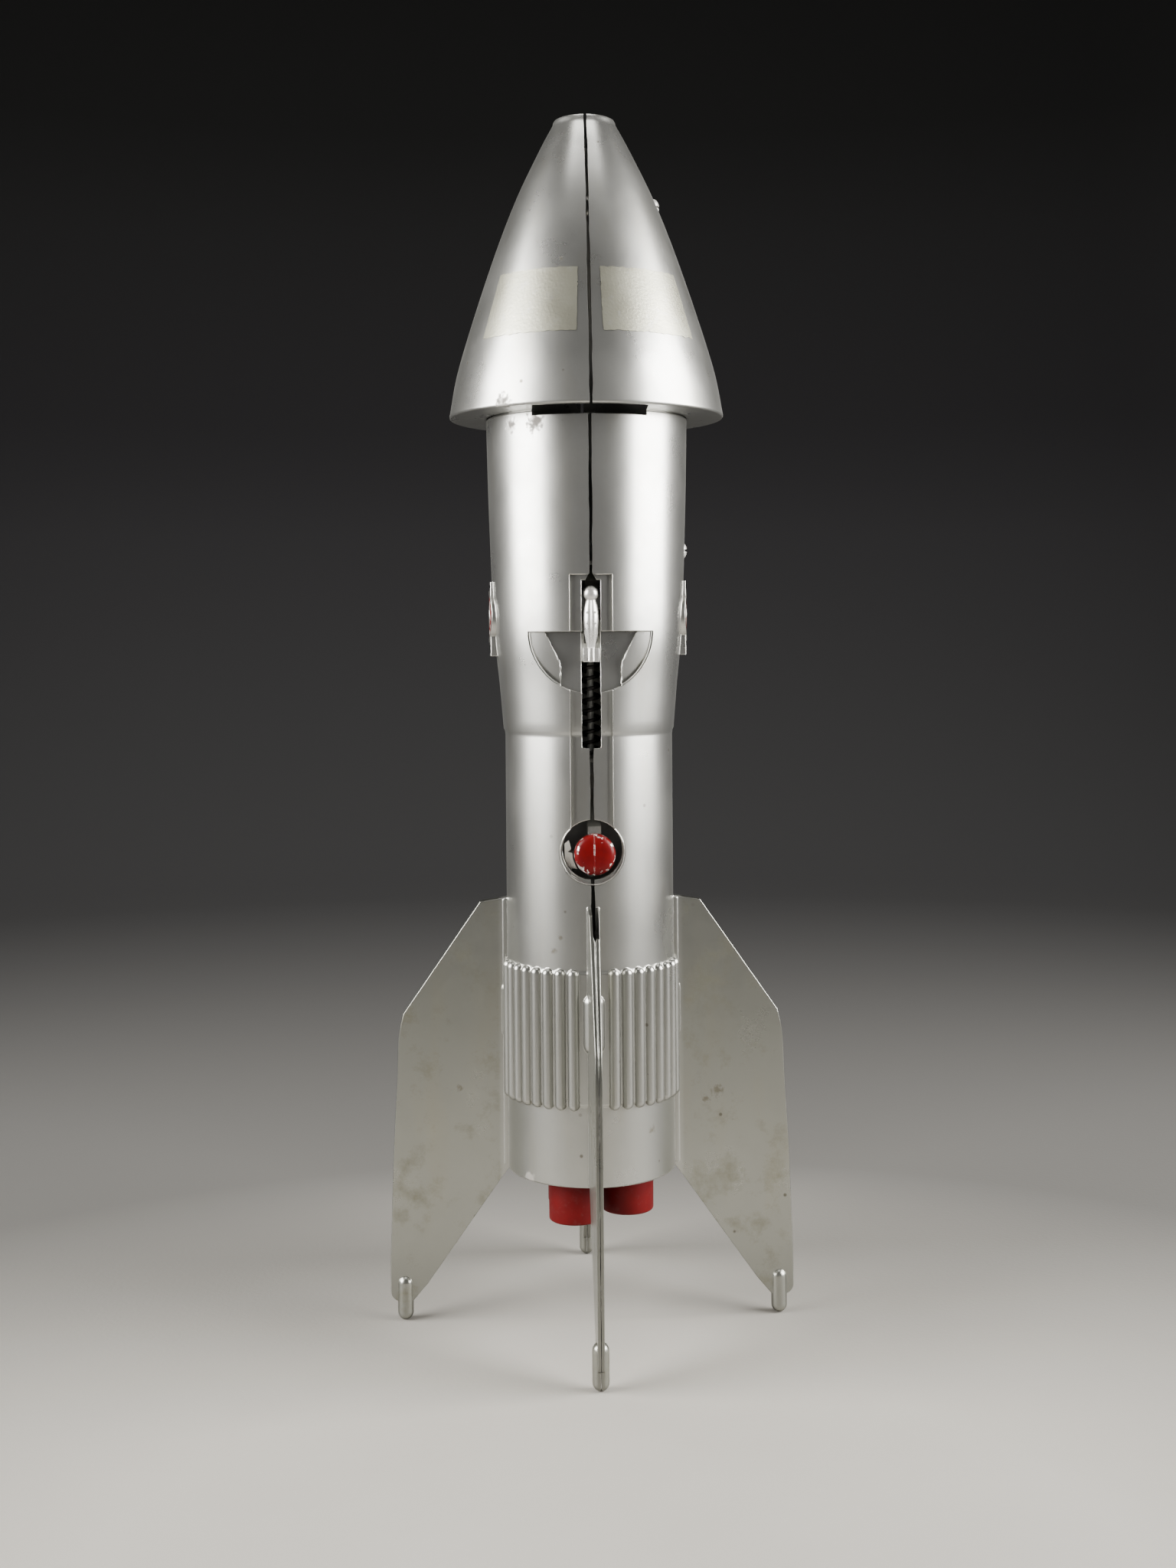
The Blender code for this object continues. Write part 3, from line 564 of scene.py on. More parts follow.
def moon_cuts():
    """The half-moon coin rest: a thin lip, a flattened floor and a flat pocket with a rough edge."""
    lip = prism("moon_lip", half_disc(MOON_R), 10, 30, ALONG_Y)
    shape(lip, "DIFFERENCE", [core("lip_core", 0.22)])
    crescent = prism("moon", half_disc(MOON_R - MOON_LIP, MOON_TOP_Z - 0.1), 10, 30, ALONG_Y)
    shape(crescent, "DIFFERENCE", [moon_core()])
    swing = math.degrees(math.acos(POCKET_LOW_HALF / MOON_R))
    right = pocket_side()
    bottom = arc((0, MOON_TOP_Z), MOON_R - 0.15, -swing, -180 + swing, 24)[1:-1]
    pocket = prism("pocket", right + bottom + [(-x, z) for x, z in reversed(right)], -POCKET_Y, 26, ALONG_Y)
    return [lip, crescent, pocket]


def make_burrs(material):
    """Ragged bright burrs left by the mould along the pocket's sides and round the button hole."""
    burrs = []
    ring = arc((0, HOLE_Z), 7.2, 134, 406, 68)
    line = [(x, -math.sqrt(LOWER_R ** 2 - x * x), z) for x, z in ring]
    burrs.append(tube("burr_hole", line, 0.15, swell=0.5, sides=6))
    for side in (-1, 1):
        line = [(side * x, moon_floor(x, z) + 0.04, z) for x, z in pocket_side()[1:-1]]
        burrs.append(tube(f"burr_{side}", line, 0.19, swell=1.0, sides=6))
    burr = join("casting_burrs", burrs)
    smooth(burr, 60)
    piece(burr, "case", material)


def slot_cut():
    """The launcher's slot, with a funnel at its top and rounded lower corners."""
    corner = 0.5
    low = SLOT_Z[0]
    outline = [(-SLOT_HALF, SLOT_Z[1]), (-1.25, SLOT_Z[1] + 0.1), (-0.45, SLOT_Z[1] + 1.5),
               (0.45, SLOT_Z[1] + 1.5), (1.25, SLOT_Z[1] + 0.1), (SLOT_HALF, SLOT_Z[1])]
    outline += arc((SLOT_HALF - corner, low + corner), corner, 0, -90, 4)
    outline += arc((-SLOT_HALF + corner, low + corner), corner, -90, -180, 4)
    return prism("slot", outline, 16.6, 30, ALONG_Y)


def hole_cuts():
    """The button hole: a thin stepped rim that follows the body, and a ledge at its bottom."""
    rim = rod("hole_rim", HOLE_RIM_R, (0, -30, HOLE_Z), (0, -10, HOLE_Z), 72)
    shape(rim, "DIFFERENCE", [rod("rim_core", LOWER_R - 0.45, (0, 0, 90), (0, 0, 130), TURN_STEPS)])
    return [rim, rod("button_hole", HOLE_R, (0, -30, HOLE_Z), (0, -18.4, HOLE_Z), 72),
            rod("hole_back", HOLE_R - 0.2, (0, -30, HOLE_Z + 0.5), (0, -10, HOLE_Z + 0.5), 72)]


def body_cuts():
    neck_mouth = block("neck_mouth", (-MOUTH_HALF, -40, MOUTH_Z[0]), (MOUTH_HALF, -17, NECK_TOP_Z + 1))
    bores = [rod_x("upper_screw_hole", SCREW_HOLE_R, -8, 30, UPPER_POST),
             rod_x("upper_screw_seat", 2.4, 21.7, 30, UPPER_POST),
             rod_x("lower_screw_hole", SCREW_HOLE_R, -7, 30, LOWER_POST),
             rod_x("lower_screw_seat", SCREW_SEAT_R, 12.0, 30, LOWER_POST),
             rod_x("pivot_bore", 1.5, -9.5, 9.5, PIVOT),
             rod("rod_bore", 1.1, (0, ROD_Y, 126.5), (0, ROD_Y, 169.5))]
    badges = badge_recess(1) + badge_recess(-1)
    return [channel_cut(), slot_cut(), neck_mouth] + moon_cuts() + hole_cuts() + bores + badges


def seam_block(name, side):
    """The space on one side of the seam. Its inner face wanders as a cast edge does."""
    count = int((HEIGHT + 20) / SEAM_STEP)
    heights = [-8 + SEAM_STEP * number for number in range(count + 1)]
    edge = []
    for z in heights:
        half, wave = (SEAM_HALF if z > STEP_Z else SEAM_HALF_LOW, SEAM_WAVE)
        if z <= NOTCH_Z[0]:
            half, wave = SEAM_HALF_FINS, 0.04
        edge.append((side * (half + wave * noise.noise(Vector((z * 0.31, side * 7.3, 0)))), z))
    loop = edge + [(side * BLOCK, heights[-1]), (side * BLOCK, heights[0])]
    return prism(name, loop, -BLOCK, BLOCK, ALONG_Y)


def halve(whole, material):
    """Split a whole casting into its left and right halves along the wandering seam."""
    for side in (-1, 1):
        name = f"casting_{whole.name}_{side_name(side)}"
        half = bpy.data.objects.new(name, whole.data.copy())
        bpy.context.scene.collection.objects.link(half)
        shape(half, "INTERSECT", [seam_block(f"{name}_side", side)])
        if name == "casting_body_right":
            notch = block("fin_notch", (0, -BLOCK, NOTCH_Z[0]), (1.0, -19.3, NOTCH_Z[1]))
            shape(half, "DIFFERENCE", [notch])
        smooth(half)
        even_normals(half)
        piece(half, "case", material, [f"{whole.name}_{side_name(side)}_shell"])
    bpy.data.objects.remove(whole, do_unlink=True)


def make_nose(material):
    nose = turned("nose", nose_profile())
    shape(nose, "UNION", [rod_x("nose_post", 3.0, -15.6, 15.6, NOSE_POST)])
    mouth = block("nose_mouth", (-MOUTH_HALF, -40, MOUTH_Z[0]), (MOUTH_HALF, -19, MOUTH_Z[1]))
    shape(mouth, "INTERSECT", [rod("mouth_edge", MOUTH_R, (0, 0, 200), (0, 0, 220), 96)])
    shape(nose, "DIFFERENCE", [mouth, rod_x("nose_screw_hole", SCREW_HOLE_R, -7, 30, NOSE_POST),
                               rod_x("nose_screw_seat", SCREW_SEAT_R, 15.6, 30, NOSE_POST)])
    halve(nose, material)


def make_body(material):
    body = turned("body", body_profile())
    shape(body, "UNION", [ribs()] + fin_tools() + inner_tools() + badge_tools(1) + badge_tools(-1))
    shape(body, "DIFFERENCE", body_cuts())
    halve(body, material)


def make_badge_fields(material):
    """Thin red paint lying in the sunk fields of both badges."""
    for side in (-1, 1):
        name = side_name(side)
        field = badge_disc(f"badge_paint_{name}", side, 5.15)
        wrap(field, BADGE_X - 0.08, "INTERSECT")
        wrap(field, BADGE_FLOOR_X - 0.02, "DIFFERENCE")
        shape(field, "DIFFERENCE", [badge_disc("badge_boss", side, 2.7)])
        smooth(field)
        piece(field, "case", material)


# ---------------------------------------------------------------- launcher

def make_missile(material):
    """The small silver missile: ball nose, swelling body with a flash line and rivets, crossed tail fins."""
    low, high = (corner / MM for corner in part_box("launch_missile"))
    tip, tail = high.z, low.z
    middle_y = -19.9
    ball = 1.85
    skin = smooth_curve([(1.35, tip - 3.3), (1.75, tip - 5.0), (1.9, tip - 7.2), (1.72, tip - 9.6),
                         (1.25, tip - 12.0), (0.82, tip - 14.0)], 5)
    outline = [(0, tip - 2.9), (1.1, tip - 2.9)] + skin + [(0.8, tail + 0.2), (0, tail + 0.2)]
    place = shift(0, middle_y, 0)
    missile = turned("missile", outline, place, 40)
    round_nose = [(0, tip)] + arc((0, tip - ball), ball, 80, -80, 16) + [(0, tip - 2 * ball)]
    head = turned("missile_head", round_nose, place, 40)
    flash = [(0, middle_y - radius + 0.02, height) for radius, height in skin]
    wide = block("tail_wide", (-1.85, middle_y - 0.45, tail + 0.02), (1.85, middle_y + 0.45, tail + 3.15))
    deep = block("tail_deep", (-0.42, middle_y - 1.8, tail), (0.42, middle_y + 1.8, tail + 3.2))
    round_edges(wide, 0.14)
    round_edges(deep, 0.14)
    tab = block("missile_tab", (-1.2, middle_y, 158.0), (1.2, -14.8, 162.0))
    rivets = []
    for row, depth in enumerate((6.0, 8.4)):
        for side in (-1, 1):
            reach = radius_at(skin, tip - depth)
            across = 0.85 * side
            front = middle_y - math.sqrt(reach ** 2 - across ** 2)
            rivets.append(turned(f"rivet_{row}_{side}", [(0, 0.2), (0.2, 0.12), (0.3, -0.1), (0, -0.3)],
                                 shift(across, front, tip - depth) @ ALONG_Y, 12))
    shape(missile, "UNION", [head, wide, deep, tab, tube("flash", flash, 0.16, swell=0.3)] + rivets)
    pin_hole = rod_x("tab_hole", 0.9, -3, 3, (-15.6, 160.0))
    shape(missile, "DIFFERENCE", [pin_hole])
    smooth(missile, 40)
    piece(missile, "launcher", material, ["launch_missile"])


def make_spring(material):
    """The black coil, with its last half turns lying flat."""
    low, high = (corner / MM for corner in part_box("launch_spring"))
    turns, wire = 9.5, 0.45
    radius = (high.x - low.x) / 2 - wire
    bottom, top = low.z + wire, high.z - wire
    points = []
    steps = int(turns * 28)
    for step in range(steps + 1):
        turn = 2 * math.pi * step / 28
        share = min(max((step / 28 - 0.5) / (turns - 1), 0), 1)
        height = bottom + (top - bottom) * share
        points.append((radius * math.cos(turn), ROD_Y + radius * math.sin(turn), height))
    spring = tube("coil_spring", points, wire, sides=12)
    smooth(spring, 60)
    piece(spring, "case", material, ["launch_spring"])
    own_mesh(spring)


# ---------------------------------------------------------------- trigger

def make_lever(material):
    """The cast trigger lever: a long arm with the sear's nose, cranked forward to the button."""
    outline = [(-4.9, 171.0), (-7.4, 171.0), (-7.4, 148.2), (-8.5, 147.1), (-8.5, 144.3), (-7.4, 144.3),
               (-7.4, 124.0), (-15.9, 116.2), (-15.9, 105.5), (-15.3, 104.9), (-13.9, 104.9),
               (-13.3, 105.5), (-13.3, 114.6), (-4.9, 122.3)]
    lever = prism("lever", outline, *LEVER_X, ALONG_X)
    round_edges(lever, 0.22)
    hub = rod_x("lever_hub", 3.0, LEVER_X[0] + 0.02, LEVER_X[1] - 0.02, PIVOT)
    shape(lever, "UNION", [hub])
    shape(lever, "DIFFERENCE", [rod_x("lever_bore", 1.5, -5, 5, PIVOT),
                                rod("button_eye", 1.2, (0.55, -18, 110.1), (0.55, -10, 110.1))])
    smooth(lever)
    piece(lever, "trigger", material, ["trigger_lever"])


def make_button(material):
    """The red button: a low dome with a parting line down its face, pressed into the lever."""
    low, high = (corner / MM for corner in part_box("release_button"))
    middle = (low + high) / 2
    radius = (high.x - low.x) / 2
    front, back = -low.y, 16.2
    face = [(0, front), (1.4, front - 0.03), (2.7, front - 0.14), (3.6, front - 0.34), (4.15, front - 0.62),
            (radius - 0.1, front - 1.05), (radius, front - 1.5)]
    outline = face + [(radius, back + 0.25), (radius - 0.25, back), (0.9, back), (0.9, 13.6), (0, 13.6)]
    place = shift(middle.x, 0, middle.z) @ ALONG_Y
    button = turned("button", outline, place, 64)
    line = [(middle.x - 0.15, -height + 0.03, middle.z + side * reach)
            for side, run in ((1, face[-2::-1]), (-1, face[1:-1])) for reach, height in run]
    shape(button, "UNION", [tube("parting_line", line, 0.13, swell=0.4)])
    smooth(button, 40)
    piece(button, "trigger", material, ["release_button"])


def make_leaf_spring(material):
    """The leaf spring behind the lever, with a torn ear that shows in the button hole."""
    path = smooth_curve([(-8.45, 89.5), (-8.45, 98.0), (-9.1, 103.0), (-9.9, 107.0), (-9.3, 110.0)], 8)
    loop = path + [(y + 0.45, z) for y, z in reversed(path)]
    leaf = prism("leaf_spring", loop, -6.4, 0.6, ALONG_X)
    shape(leaf, "DIFFERENCE", [rod("leaf_screw_hole", 1.3, (-3.9, -12, 93.2), (-3.9, -5, 93.2))])
    ear_loop = [(-6.3, 112.6), (-5.3, 113.4), (-4.8, 111.3), (-5.5, 110.7), (-4.5, 110.4), (-4.3, 108.8),
                (-3.4, 106.6), (-4.4, 106.9), (-5.2, 105.9), (-5.9, 107.4), (-6.2, 108.6)]
    ear = prism("leaf_ear", ear_loop, 16.8, 17.2, ALONG_Y)
    for vertex in ear.data.vertices:
        vertex.co.y -= 0.268 * (vertex.co.z - 0.110)
    arm = block("leaf_arm", (-5.9, -16.8, 107.4), (-5.2, -9.4, 108.6))
    shape(leaf, "UNION", [ear, arm])
    smooth(leaf)
    piece(leaf, "case", material, ["trigger_leaf_spring"])


# ---------------------------------------------------------------- screws and nozzles

def make_screw(node, base, length, head_r, head_h, material):
    """A domed screw that goes in along -X, with a worn slot across its head."""
    dome = [(0, head_h)] + [(head_r * math.sin(math.radians(a)), head_h * math.cos(math.radians(a)))
                            for a in range(15, 90, 15)] + [(head_r, 0)]
    shank = head_r * 0.55
    outline = dome + [(shank, 0), (shank, -length + 0.6), (shank - 0.5, -length), (0, -length)]
    place = shift(*base) @ Matrix.Rotation(math.radians(90), 4, "Y")
    screw = turned(f"domed_{node}", outline, place, 40)
    cut = block(f"{node}_slot", (base[0] + head_h * 0.5, -head_r * 2 + base[1], base[2] - 0.3),
                (base[0] + head_h * 2, head_r * 2 + base[1], base[2] + 0.3))
    shape(screw, "DIFFERENCE", [cut])
    smooth(screw)
    piece(screw, "case", material, [node])


def make_screws(material):
    make_screw("nose_screw", (15.9, *NOSE_POST), 21.5, 2.15, 1.6, material)
    make_screw("upper_body_screw", (22.0, *UPPER_POST), 28.5, 2.05, 1.4, material)
    make_screw("lower_body_screw", (12.3, *LOWER_POST), 18.0, 2.15, 1.6, material)


def make_nozzles(material):
    """Three red cups with a rounded lip."""
    for node in ("nozzle_right", "nozzle_back_left", "nozzle_front_left"):
        low, high = (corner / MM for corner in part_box(node))
        middle = (low + high) / 2
        radius, wall = (high.x - low.x) / 2, 1.1
        top, bottom = 36.3, low.z
        lip = arc((radius - wall / 2, bottom + wall / 2), wall / 2, 0, -180, 8)
        outline = [(0, high.z), (1.7, high.z), (1.9, high.z - 0.2), (1.9, top), (radius - 0.5, top)]
        outline += arc((radius - 0.5, top - 0.5), 0.5, 80, 0, 4) + lip
        outline += [(radius - wall, top - 2.6), (radius - wall - 0.5, top - 2.1), (0, top - 1.9)]
        nozzle = turned(f"cup_{node}", outline, shift(middle.x, middle.y, 0), 72)
        smooth(nozzle)
        piece(nozzle, "trap", material, [node])


# ---------------------------------------------------------------- sticker

def make_stickers(material):
    """Two blank patches of an aged, yellowed label, one on each half of the nose."""
    across, up = 40, 12
    for side in (-1, 1):
        work = bmesh.new()
        rows = []
        for row in range(up + 1):
            line = []
            for column in range(across + 1):
                turn = STICKER_DEG[0] + (STICKER_DEG[1] - STICKER_DEG[0]) * column / across
                height = STICKER_Z[0] + (STICKER_Z[1] - STICKER_Z[0]) * row / up
                if column in (0, across):
                    turn += 1.2 * noise.noise(Vector((height * 0.8, side * 3, column)))
                if row in (0, up):
                    height += 0.35 * noise.noise(Vector((turn * 0.35, side * 5, row)))
                reach = (radius_at(NOSE_SKIN, height) + 0.08) * MM
                angle = math.radians(-90 + side * turn)
                line.append(work.verts.new((reach * math.cos(angle), reach * math.sin(angle), height * MM)))
            rows.append(line)
        for first, second in zip(rows, rows[1:]):
            for column in range(across):
                work.faces.new((first[column], first[column + 1], second[column + 1], second[column]))
        sticker = add_object(f"sticker_{side_name(side)}", work)
        film = sticker.modifiers.new("film", "SOLIDIFY")
        film.thickness = 0.06 * MM
        film.offset = 0
        bake(sticker)
        smooth(sticker)
        piece(sticker, "case", material)


# ---------------------------------------------------------------- materials

class Finish:
    """A material being made: short calls that add nodes and join them."""

    def __init__(self, name):
        self.material = bpy.data.materials.new(name)
        self.material.use_nodes = True
        self.tree = self.material.node_tree
        self.shader = self.tree.nodes["Principled BSDF"]
        self.place = self.node("TexCoord").outputs["Object"]
        self.flat = self.node("NewGeometry").outputs["Normal"]

    def node(self, kind, inputs=None, **settings):
        """A new node with its settings, and with values or links fed to its inputs."""
        node = self.tree.nodes.new("ShaderNode" + kind)
        for key, value in settings.items():
            setattr(node, key, value)
        for key, value in (inputs or {}).items():
            self.feed(node.inputs[key], value)
        return node

    def feed(self, socket, value):
        if isinstance(value, bpy.types.NodeSocket):
            self.tree.links.new(value, socket)
        else:
            socket.default_value = value

    def split(self, vector):
        return self.node("SeparateXYZ", {0: vector}).outputs

    def vector(self, operation, first, second):
        return self.node("VectorMath", {0: first, 1: second}, operation=operation).outputs

    def stretched(self, scale):
        return self.node("Mapping", {"Vector": self.place, "Scale": scale}).outputs["Vector"]

    def noise(self, scale, detail=4.0, roughness=0.55, place=None):
        inputs = {"Vector": place or self.place, "Scale": scale, "Detail": detail, "Roughness": roughness}
        return self.node("TexNoise", inputs).outputs["Fac"]

    def cells(self, scale):
        return self.node("TexVoronoi", {"Vector": self.place, "Scale": scale}).outputs

    def level(self, value, low, high):
        """0 below low and 1 above high; low may be the larger, which turns it round."""
        return self.node("MapRange", {"Value": value, "From Min": low, "From Max": high}).outputs["Result"]

    def maths(self, operation, first, second):
        return self.node("Math", {0: first, 1: second}, operation=operation).outputs[0]

    def times(self, first, second):
        return self.maths("MULTIPLY", first, second)

    def size(self, value):
        """The value without its sign."""
        return self.maths("ABSOLUTE", value, 0.0)

    def colour(self, factor, first, second):
        node = self.node("Mix", data_type="RGBA")
        self.feed(node.inputs["Factor"], factor)
        for socket, value in ((node.inputs[6], first), (node.inputs[7], second)):
            self.feed(socket, (*value, 1.0) if isinstance(value, tuple) else value)
        return node.outputs[2]

    def tint(self, base, mask, share, tone):
        """The base colour, taken a share of the way to a tone where the mask is."""
        return self.colour(self.times(mask, share), base, tone)

    def between(self, factor, first, second):
        return self.node("Mix", {"Factor": factor, 2: first, 3: second}, data_type="FLOAT").outputs[0]

    def spot(self, centre, radius, ragged, scale):
        """A ragged patch with a soft edge round a point, in millimetres."""
        reach = self.vector("DISTANCE", self.place, [value * MM for value in centre])["Value"]
        wander = self.times(self.maths("SUBTRACT", self.noise(scale, 5), 0.5), radius * MM * 2 * ragged)
        return self.level(self.maths("ADD", reach, wander), radius * MM, radius * MM * (1 - SPOT_FADE))

    def edges(self, radius):
        """Rounded normals, and a mask that is 1 where they leave the flat ones."""
        bevel = self.node("Bevel", {"Radius": radius * MM}, samples=6)
        match = self.vector("DOT_PRODUCT", bevel.outputs["Normal"], self.flat)["Value"]
        return bevel.outputs["Normal"], self.level(match, 0.985, 0.86)

    def hollows(self, reach):
        """A mask that is 1 in corners and grooves."""
        node = self.node("AmbientOcclusion", {"Distance": reach * MM}, samples=4)
        return self.level(node.outputs["AO"], 0.72, 0.30)

    def bump(self, height, distance, normal=None):
        node = self.node("Bump", {"Height": height, "Distance": distance * MM})
        if normal is not None:
            self.feed(node.inputs["Normal"], normal)
        return node.outputs["Normal"]

    def done(self, colour, roughness, metallic, normal=None):
        for name, value in (("Base Color", colour), ("Roughness", roughness), ("Metallic", metallic)):
            self.feed(self.shader.inputs[name], value)
        if normal is not None:
            self.feed(self.shader.inputs["Normal"], normal)
        return self.material


def brighter(tone, factor):
    """A tone multiplied by a factor, cut off at white."""
    return tuple(min(1.0, part * factor) for part in tone)


def any_of(finish, masks):
    result = masks[0]
    for mask in masks[1:]:
        result = finish.maths("MAXIMUM", result, mask)
    return result


def cast_paint():
    """Satin aluminium paint, worn bright along the edges, with stains, specks, bare spots and dents, and
    painted shade low down, on the fins, in corners and grooves and in the seam's gap.
    """
    paint = Finish("cast_paint_worn")
    rounded, edge = paint.edges(0.24)
    hollow = paint.hollows(1.6)
    x, y, z = paint.split(paint.place)
    reach = paint.maths("POWER", paint.maths("ADD", paint.times(x, x), paint.times(y, y)), 0.5)
    fins = paint.times(paint.level(reach, *FINS_REACH), paint.level(z, *FINS_TOP))

    mottle = paint.level(paint.noise(48, 7, 0.62), 0.38, 0.66)
    base = paint.colour(mottle, (0.54, 0.54, 0.52), (0.46, 0.46, 0.44))
    # Painted shade: the lower body is darkened towards the bottom, where the side lamps light it less.
    low = paint.level(z, 0.115, 0.075)
    base = paint.tint(base, low, 0.55, (0.34, 0.34, 0.315))
    # Painted shade: the fins are darkened all over, standing in for the dark room that their flat faces
    # reflect.
    base = paint.tint(base, fins, 0.6, (0.30, 0.305, 0.27))

    stain = paint.times(paint.level(paint.noise(85, 8, 0.72), 0.52, 0.74), fins)
    base = paint.tint(base, stain, 0.7, (0.20, 0.19, 0.115))
    smear = paint.level(paint.noise(150, 3, 0.5, paint.stretched((1, 1, 0.22))), 0.52, 0.80)
    base = paint.tint(base, smear, 0.25, (0.38, 0.35, 0.26))

    speck = paint.cells(330)
    chosen = paint.node("SeparateColor", {0: speck["Color"]})
    dark = paint.times(paint.level(speck["Distance"], 0.17, 0.09), paint.level(chosen.outputs[0], 0.93, 0.95))
    base = paint.tint(base, dark, 0.8, (0.10, 0.085, 0.06))

    # Painted shade: in the fin region, faces that don't turn sideways round the axis, such as the fins' edges
    # and top slopes, are darkened.
    face_x, face_y, _ = paint.split(paint.flat)
    turn = paint.maths("SUBTRACT", paint.times(face_x, y), paint.times(face_y, x))
    across = paint.size(paint.maths("DIVIDE", turn, reach))
    rim = paint.times(fins, paint.level(across, 0.75, 0.35))
    base = paint.tint(base, rim, 0.7, (0.15, 0.15, 0.135))
    off_seam = paint.size(x)
    above_fins = paint.level(z, *ABOVE_FINS)
    gap = paint.times(paint.level(off_seam, *GAP_REACH), paint.level(paint.size(face_x), 0.75, 0.9))
    gap = paint.times(gap, above_fins)
    seam = paint.times(paint.level(off_seam, *SEAM_REACH), above_fins)
    inputs = {0: paint.times(seam, 0.85), 4: rounded, 5: paint.flat}
    normal = paint.node("Mix", inputs, data_type="VECTOR").outputs[1]
    # Painted shade: the base is darkened in corners and grooves, where shade falls.
    base = paint.tint(base, hollow, 0.62, (0.13, 0.125, 0.10))

    rough = paint.noise(700, 4, 0.7)
    patchy = paint.times(paint.level(rough, 0.46, 0.56), paint.level(paint.noise(95, 3), 0.46, 0.60))
    ragged = paint.between(fins, paint.level(rough, 0.34, 0.48), patchy)
    raised = paint.maths("SUBTRACT", 1.0, hollow)
    worn = paint.times(paint.times(edge, raised), ragged)
    worn = paint.times(worn, paint.between(any_of(paint, [fins, seam]), 1.0, 0.5))
    base = paint.colour(worn, base, (0.86, 0.85, 0.80))

    bare = (((-19.5, -25.3, 210.8), 2.1), ((-12.2, -19.9, 207.2), 2.4), ((-17.3, -15.4, 207.0), 1.9),
            ((-14.5, -13.0, 36.2), 1.5))
    primer = any_of(paint, [paint.spot(centre, radius, 1.5, 800) for centre, radius in bare])
    base = paint.tint(base, primer, 0.7, (0.20, 0.175, 0.155))
    dents = (((-8.3, -22.6, 244.6), 1.3), ((-6.2, -22.4, 243.5), 0.8), ((-7.3, -18.1, 91.5), 0.7),
             ((-9.0, -17.3, 88.2), 0.9), ((13.5, -14.3, 47.0), 1.2), ((-31.0, -1.2, 54.0), 0.9),
             ((29.5, -1.3, 52.5), 1.6), ((27.0, -1.3, 50.5), 0.9))
    bruise = any_of(paint, [paint.spot(centre, radius, 1.6, 900) for centre, radius in dents])
    base = paint.tint(base, bruise, 0.7, (0.13, 0.11, 0.07))

    # Painted shade: the seam's side walls are painted near black, standing in for the shadow inside the gap.
    base = paint.colour(gap, base, (0.006, 0.006, 0.006))

    roughness = paint.between(mottle, 0.27, 0.33)
    roughness = paint.between(paint.times(stain, 0.6), roughness, 0.6)
    roughness = paint.between(worn, roughness, 0.28)
    roughness = paint.between(any_of(paint, [primer, gap]), roughness, 0.75)
    metallic = paint.between(any_of(paint, [primer, gap]), 0.96, 0.1)
    metallic = paint.between(any_of(paint, [dark, bruise]), metallic, 0.75)
    height = paint.maths("SUBTRACT", paint.noise(190, 1, 0.4), paint.times(primer, 0.8))
    return paint.done(base, roughness, metallic, paint.bump(height, 0.02, normal))


def plain_metal(name, bright, dull, roughness, grain_scale=900, grain=0.03, metallic=1.0):
    """Bare or plated metal with a fine grain, dull patches and brighter edges."""
    metal = Finish(name)
    normal, edge = metal.edges(0.12)
    patch = metal.level(metal.noise(260, 6, 0.65), 0.35, 0.68)
    colour = metal.colour(patch, bright, dull)
    colour = metal.tint(colour, edge, 0.5, brighter(bright, 1.3))
    height = metal.noise(grain_scale, 4, 0.6)
    return metal.done(colour, metal.between(patch, roughness, roughness + 0.14), metallic,
                      metal.bump(height, grain, normal))


def red_paint():
    """Red paint on the button, chipped to bright metal round its rim and along its parting line."""
    paint = Finish("red_paint_chipped")
    low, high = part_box("release_button")
    middle = (low + high) / 2
    normal, edge = paint.edges(0.15)
    flattened = paint.vector("MULTIPLY", paint.place, (1, 0, 1))[0]
    reach = paint.vector("DISTANCE", flattened, (middle.x, 0, middle.z))["Value"]
    radius = (high.x - low.x) / 2
    rim = paint.level(reach, radius * 0.74, radius * 0.97)
    patchy = paint.noise(760, 5, 0.62)
    chip = paint.level(paint.maths("ADD", patchy, paint.times(rim, 0.13)), 0.67, 0.69)
    chip = paint.maths("MAXIMUM", chip, paint.times(edge, paint.level(patchy, 0.50, 0.56)))
    mottle = paint.level(paint.noise(300, 5), 0.35, 0.7)
    red = paint.colour(mottle, (0.125, 0.003, 0.004), (0.08, 0.002, 0.003))
    colour = paint.colour(chip, red, (0.78, 0.74, 0.70))
    height = paint.maths("SUBTRACT", paint.times(paint.noise(900, 3), 0.3), chip)
    paint.shader.inputs["Specular IOR Level"].default_value = 0.15
    return paint.done(colour, paint.between(chip, 0.33, 0.4), paint.times(chip, 0.8),
                      paint.bump(height, 0.06, normal))


def moulded(name, light, dark, roughness, scale=500, depth=0.03):
    """Moulded plastic, fibre or rubber: soft mottling and a fine grain."""
    plastic = Finish(name)
    plastic.shader.inputs["Specular IOR Level"].default_value = 0.13
    normal, edge = plastic.edges(0.15)
    mottle = plastic.level(plastic.noise(130, 5), 0.35, 0.68)
    colour = plastic.colour(mottle, light, dark)
    dust = plastic.times(plastic.level(plastic.noise(700, 6, 0.7), 0.55, 0.8), 0.18)
    colour = plastic.colour(dust, colour, (0.14, 0.12, 0.11))
    colour = plastic.tint(colour, edge, 0.25, brighter(light, 1.6))
    return plastic.done(colour, plastic.between(mottle, roughness, roughness + 0.1), 0.0,
                        plastic.bump(plastic.noise(scale, 4), depth, normal))


def aged_film():
    """The yellowed label: a thin film whose silver shows through, browner and rubbed in places."""
    film = Finish("aged_film")
    blotch = film.level(film.noise(110, 6, 0.6), 0.36, 0.66)
    colour = film.colour(blotch, (0.50, 0.49, 0.395), (0.45, 0.445, 0.365))
    rubbed = film.level(film.noise(330, 6, 0.7), 0.56, 0.68)
    colour = film.tint(colour, rubbed, 0.7, (0.52, 0.52, 0.49))
    return film.done(colour, film.between(blotch, 0.32, 0.38), 0.92, film.bump(film.noise(1500, 3), 0.03))


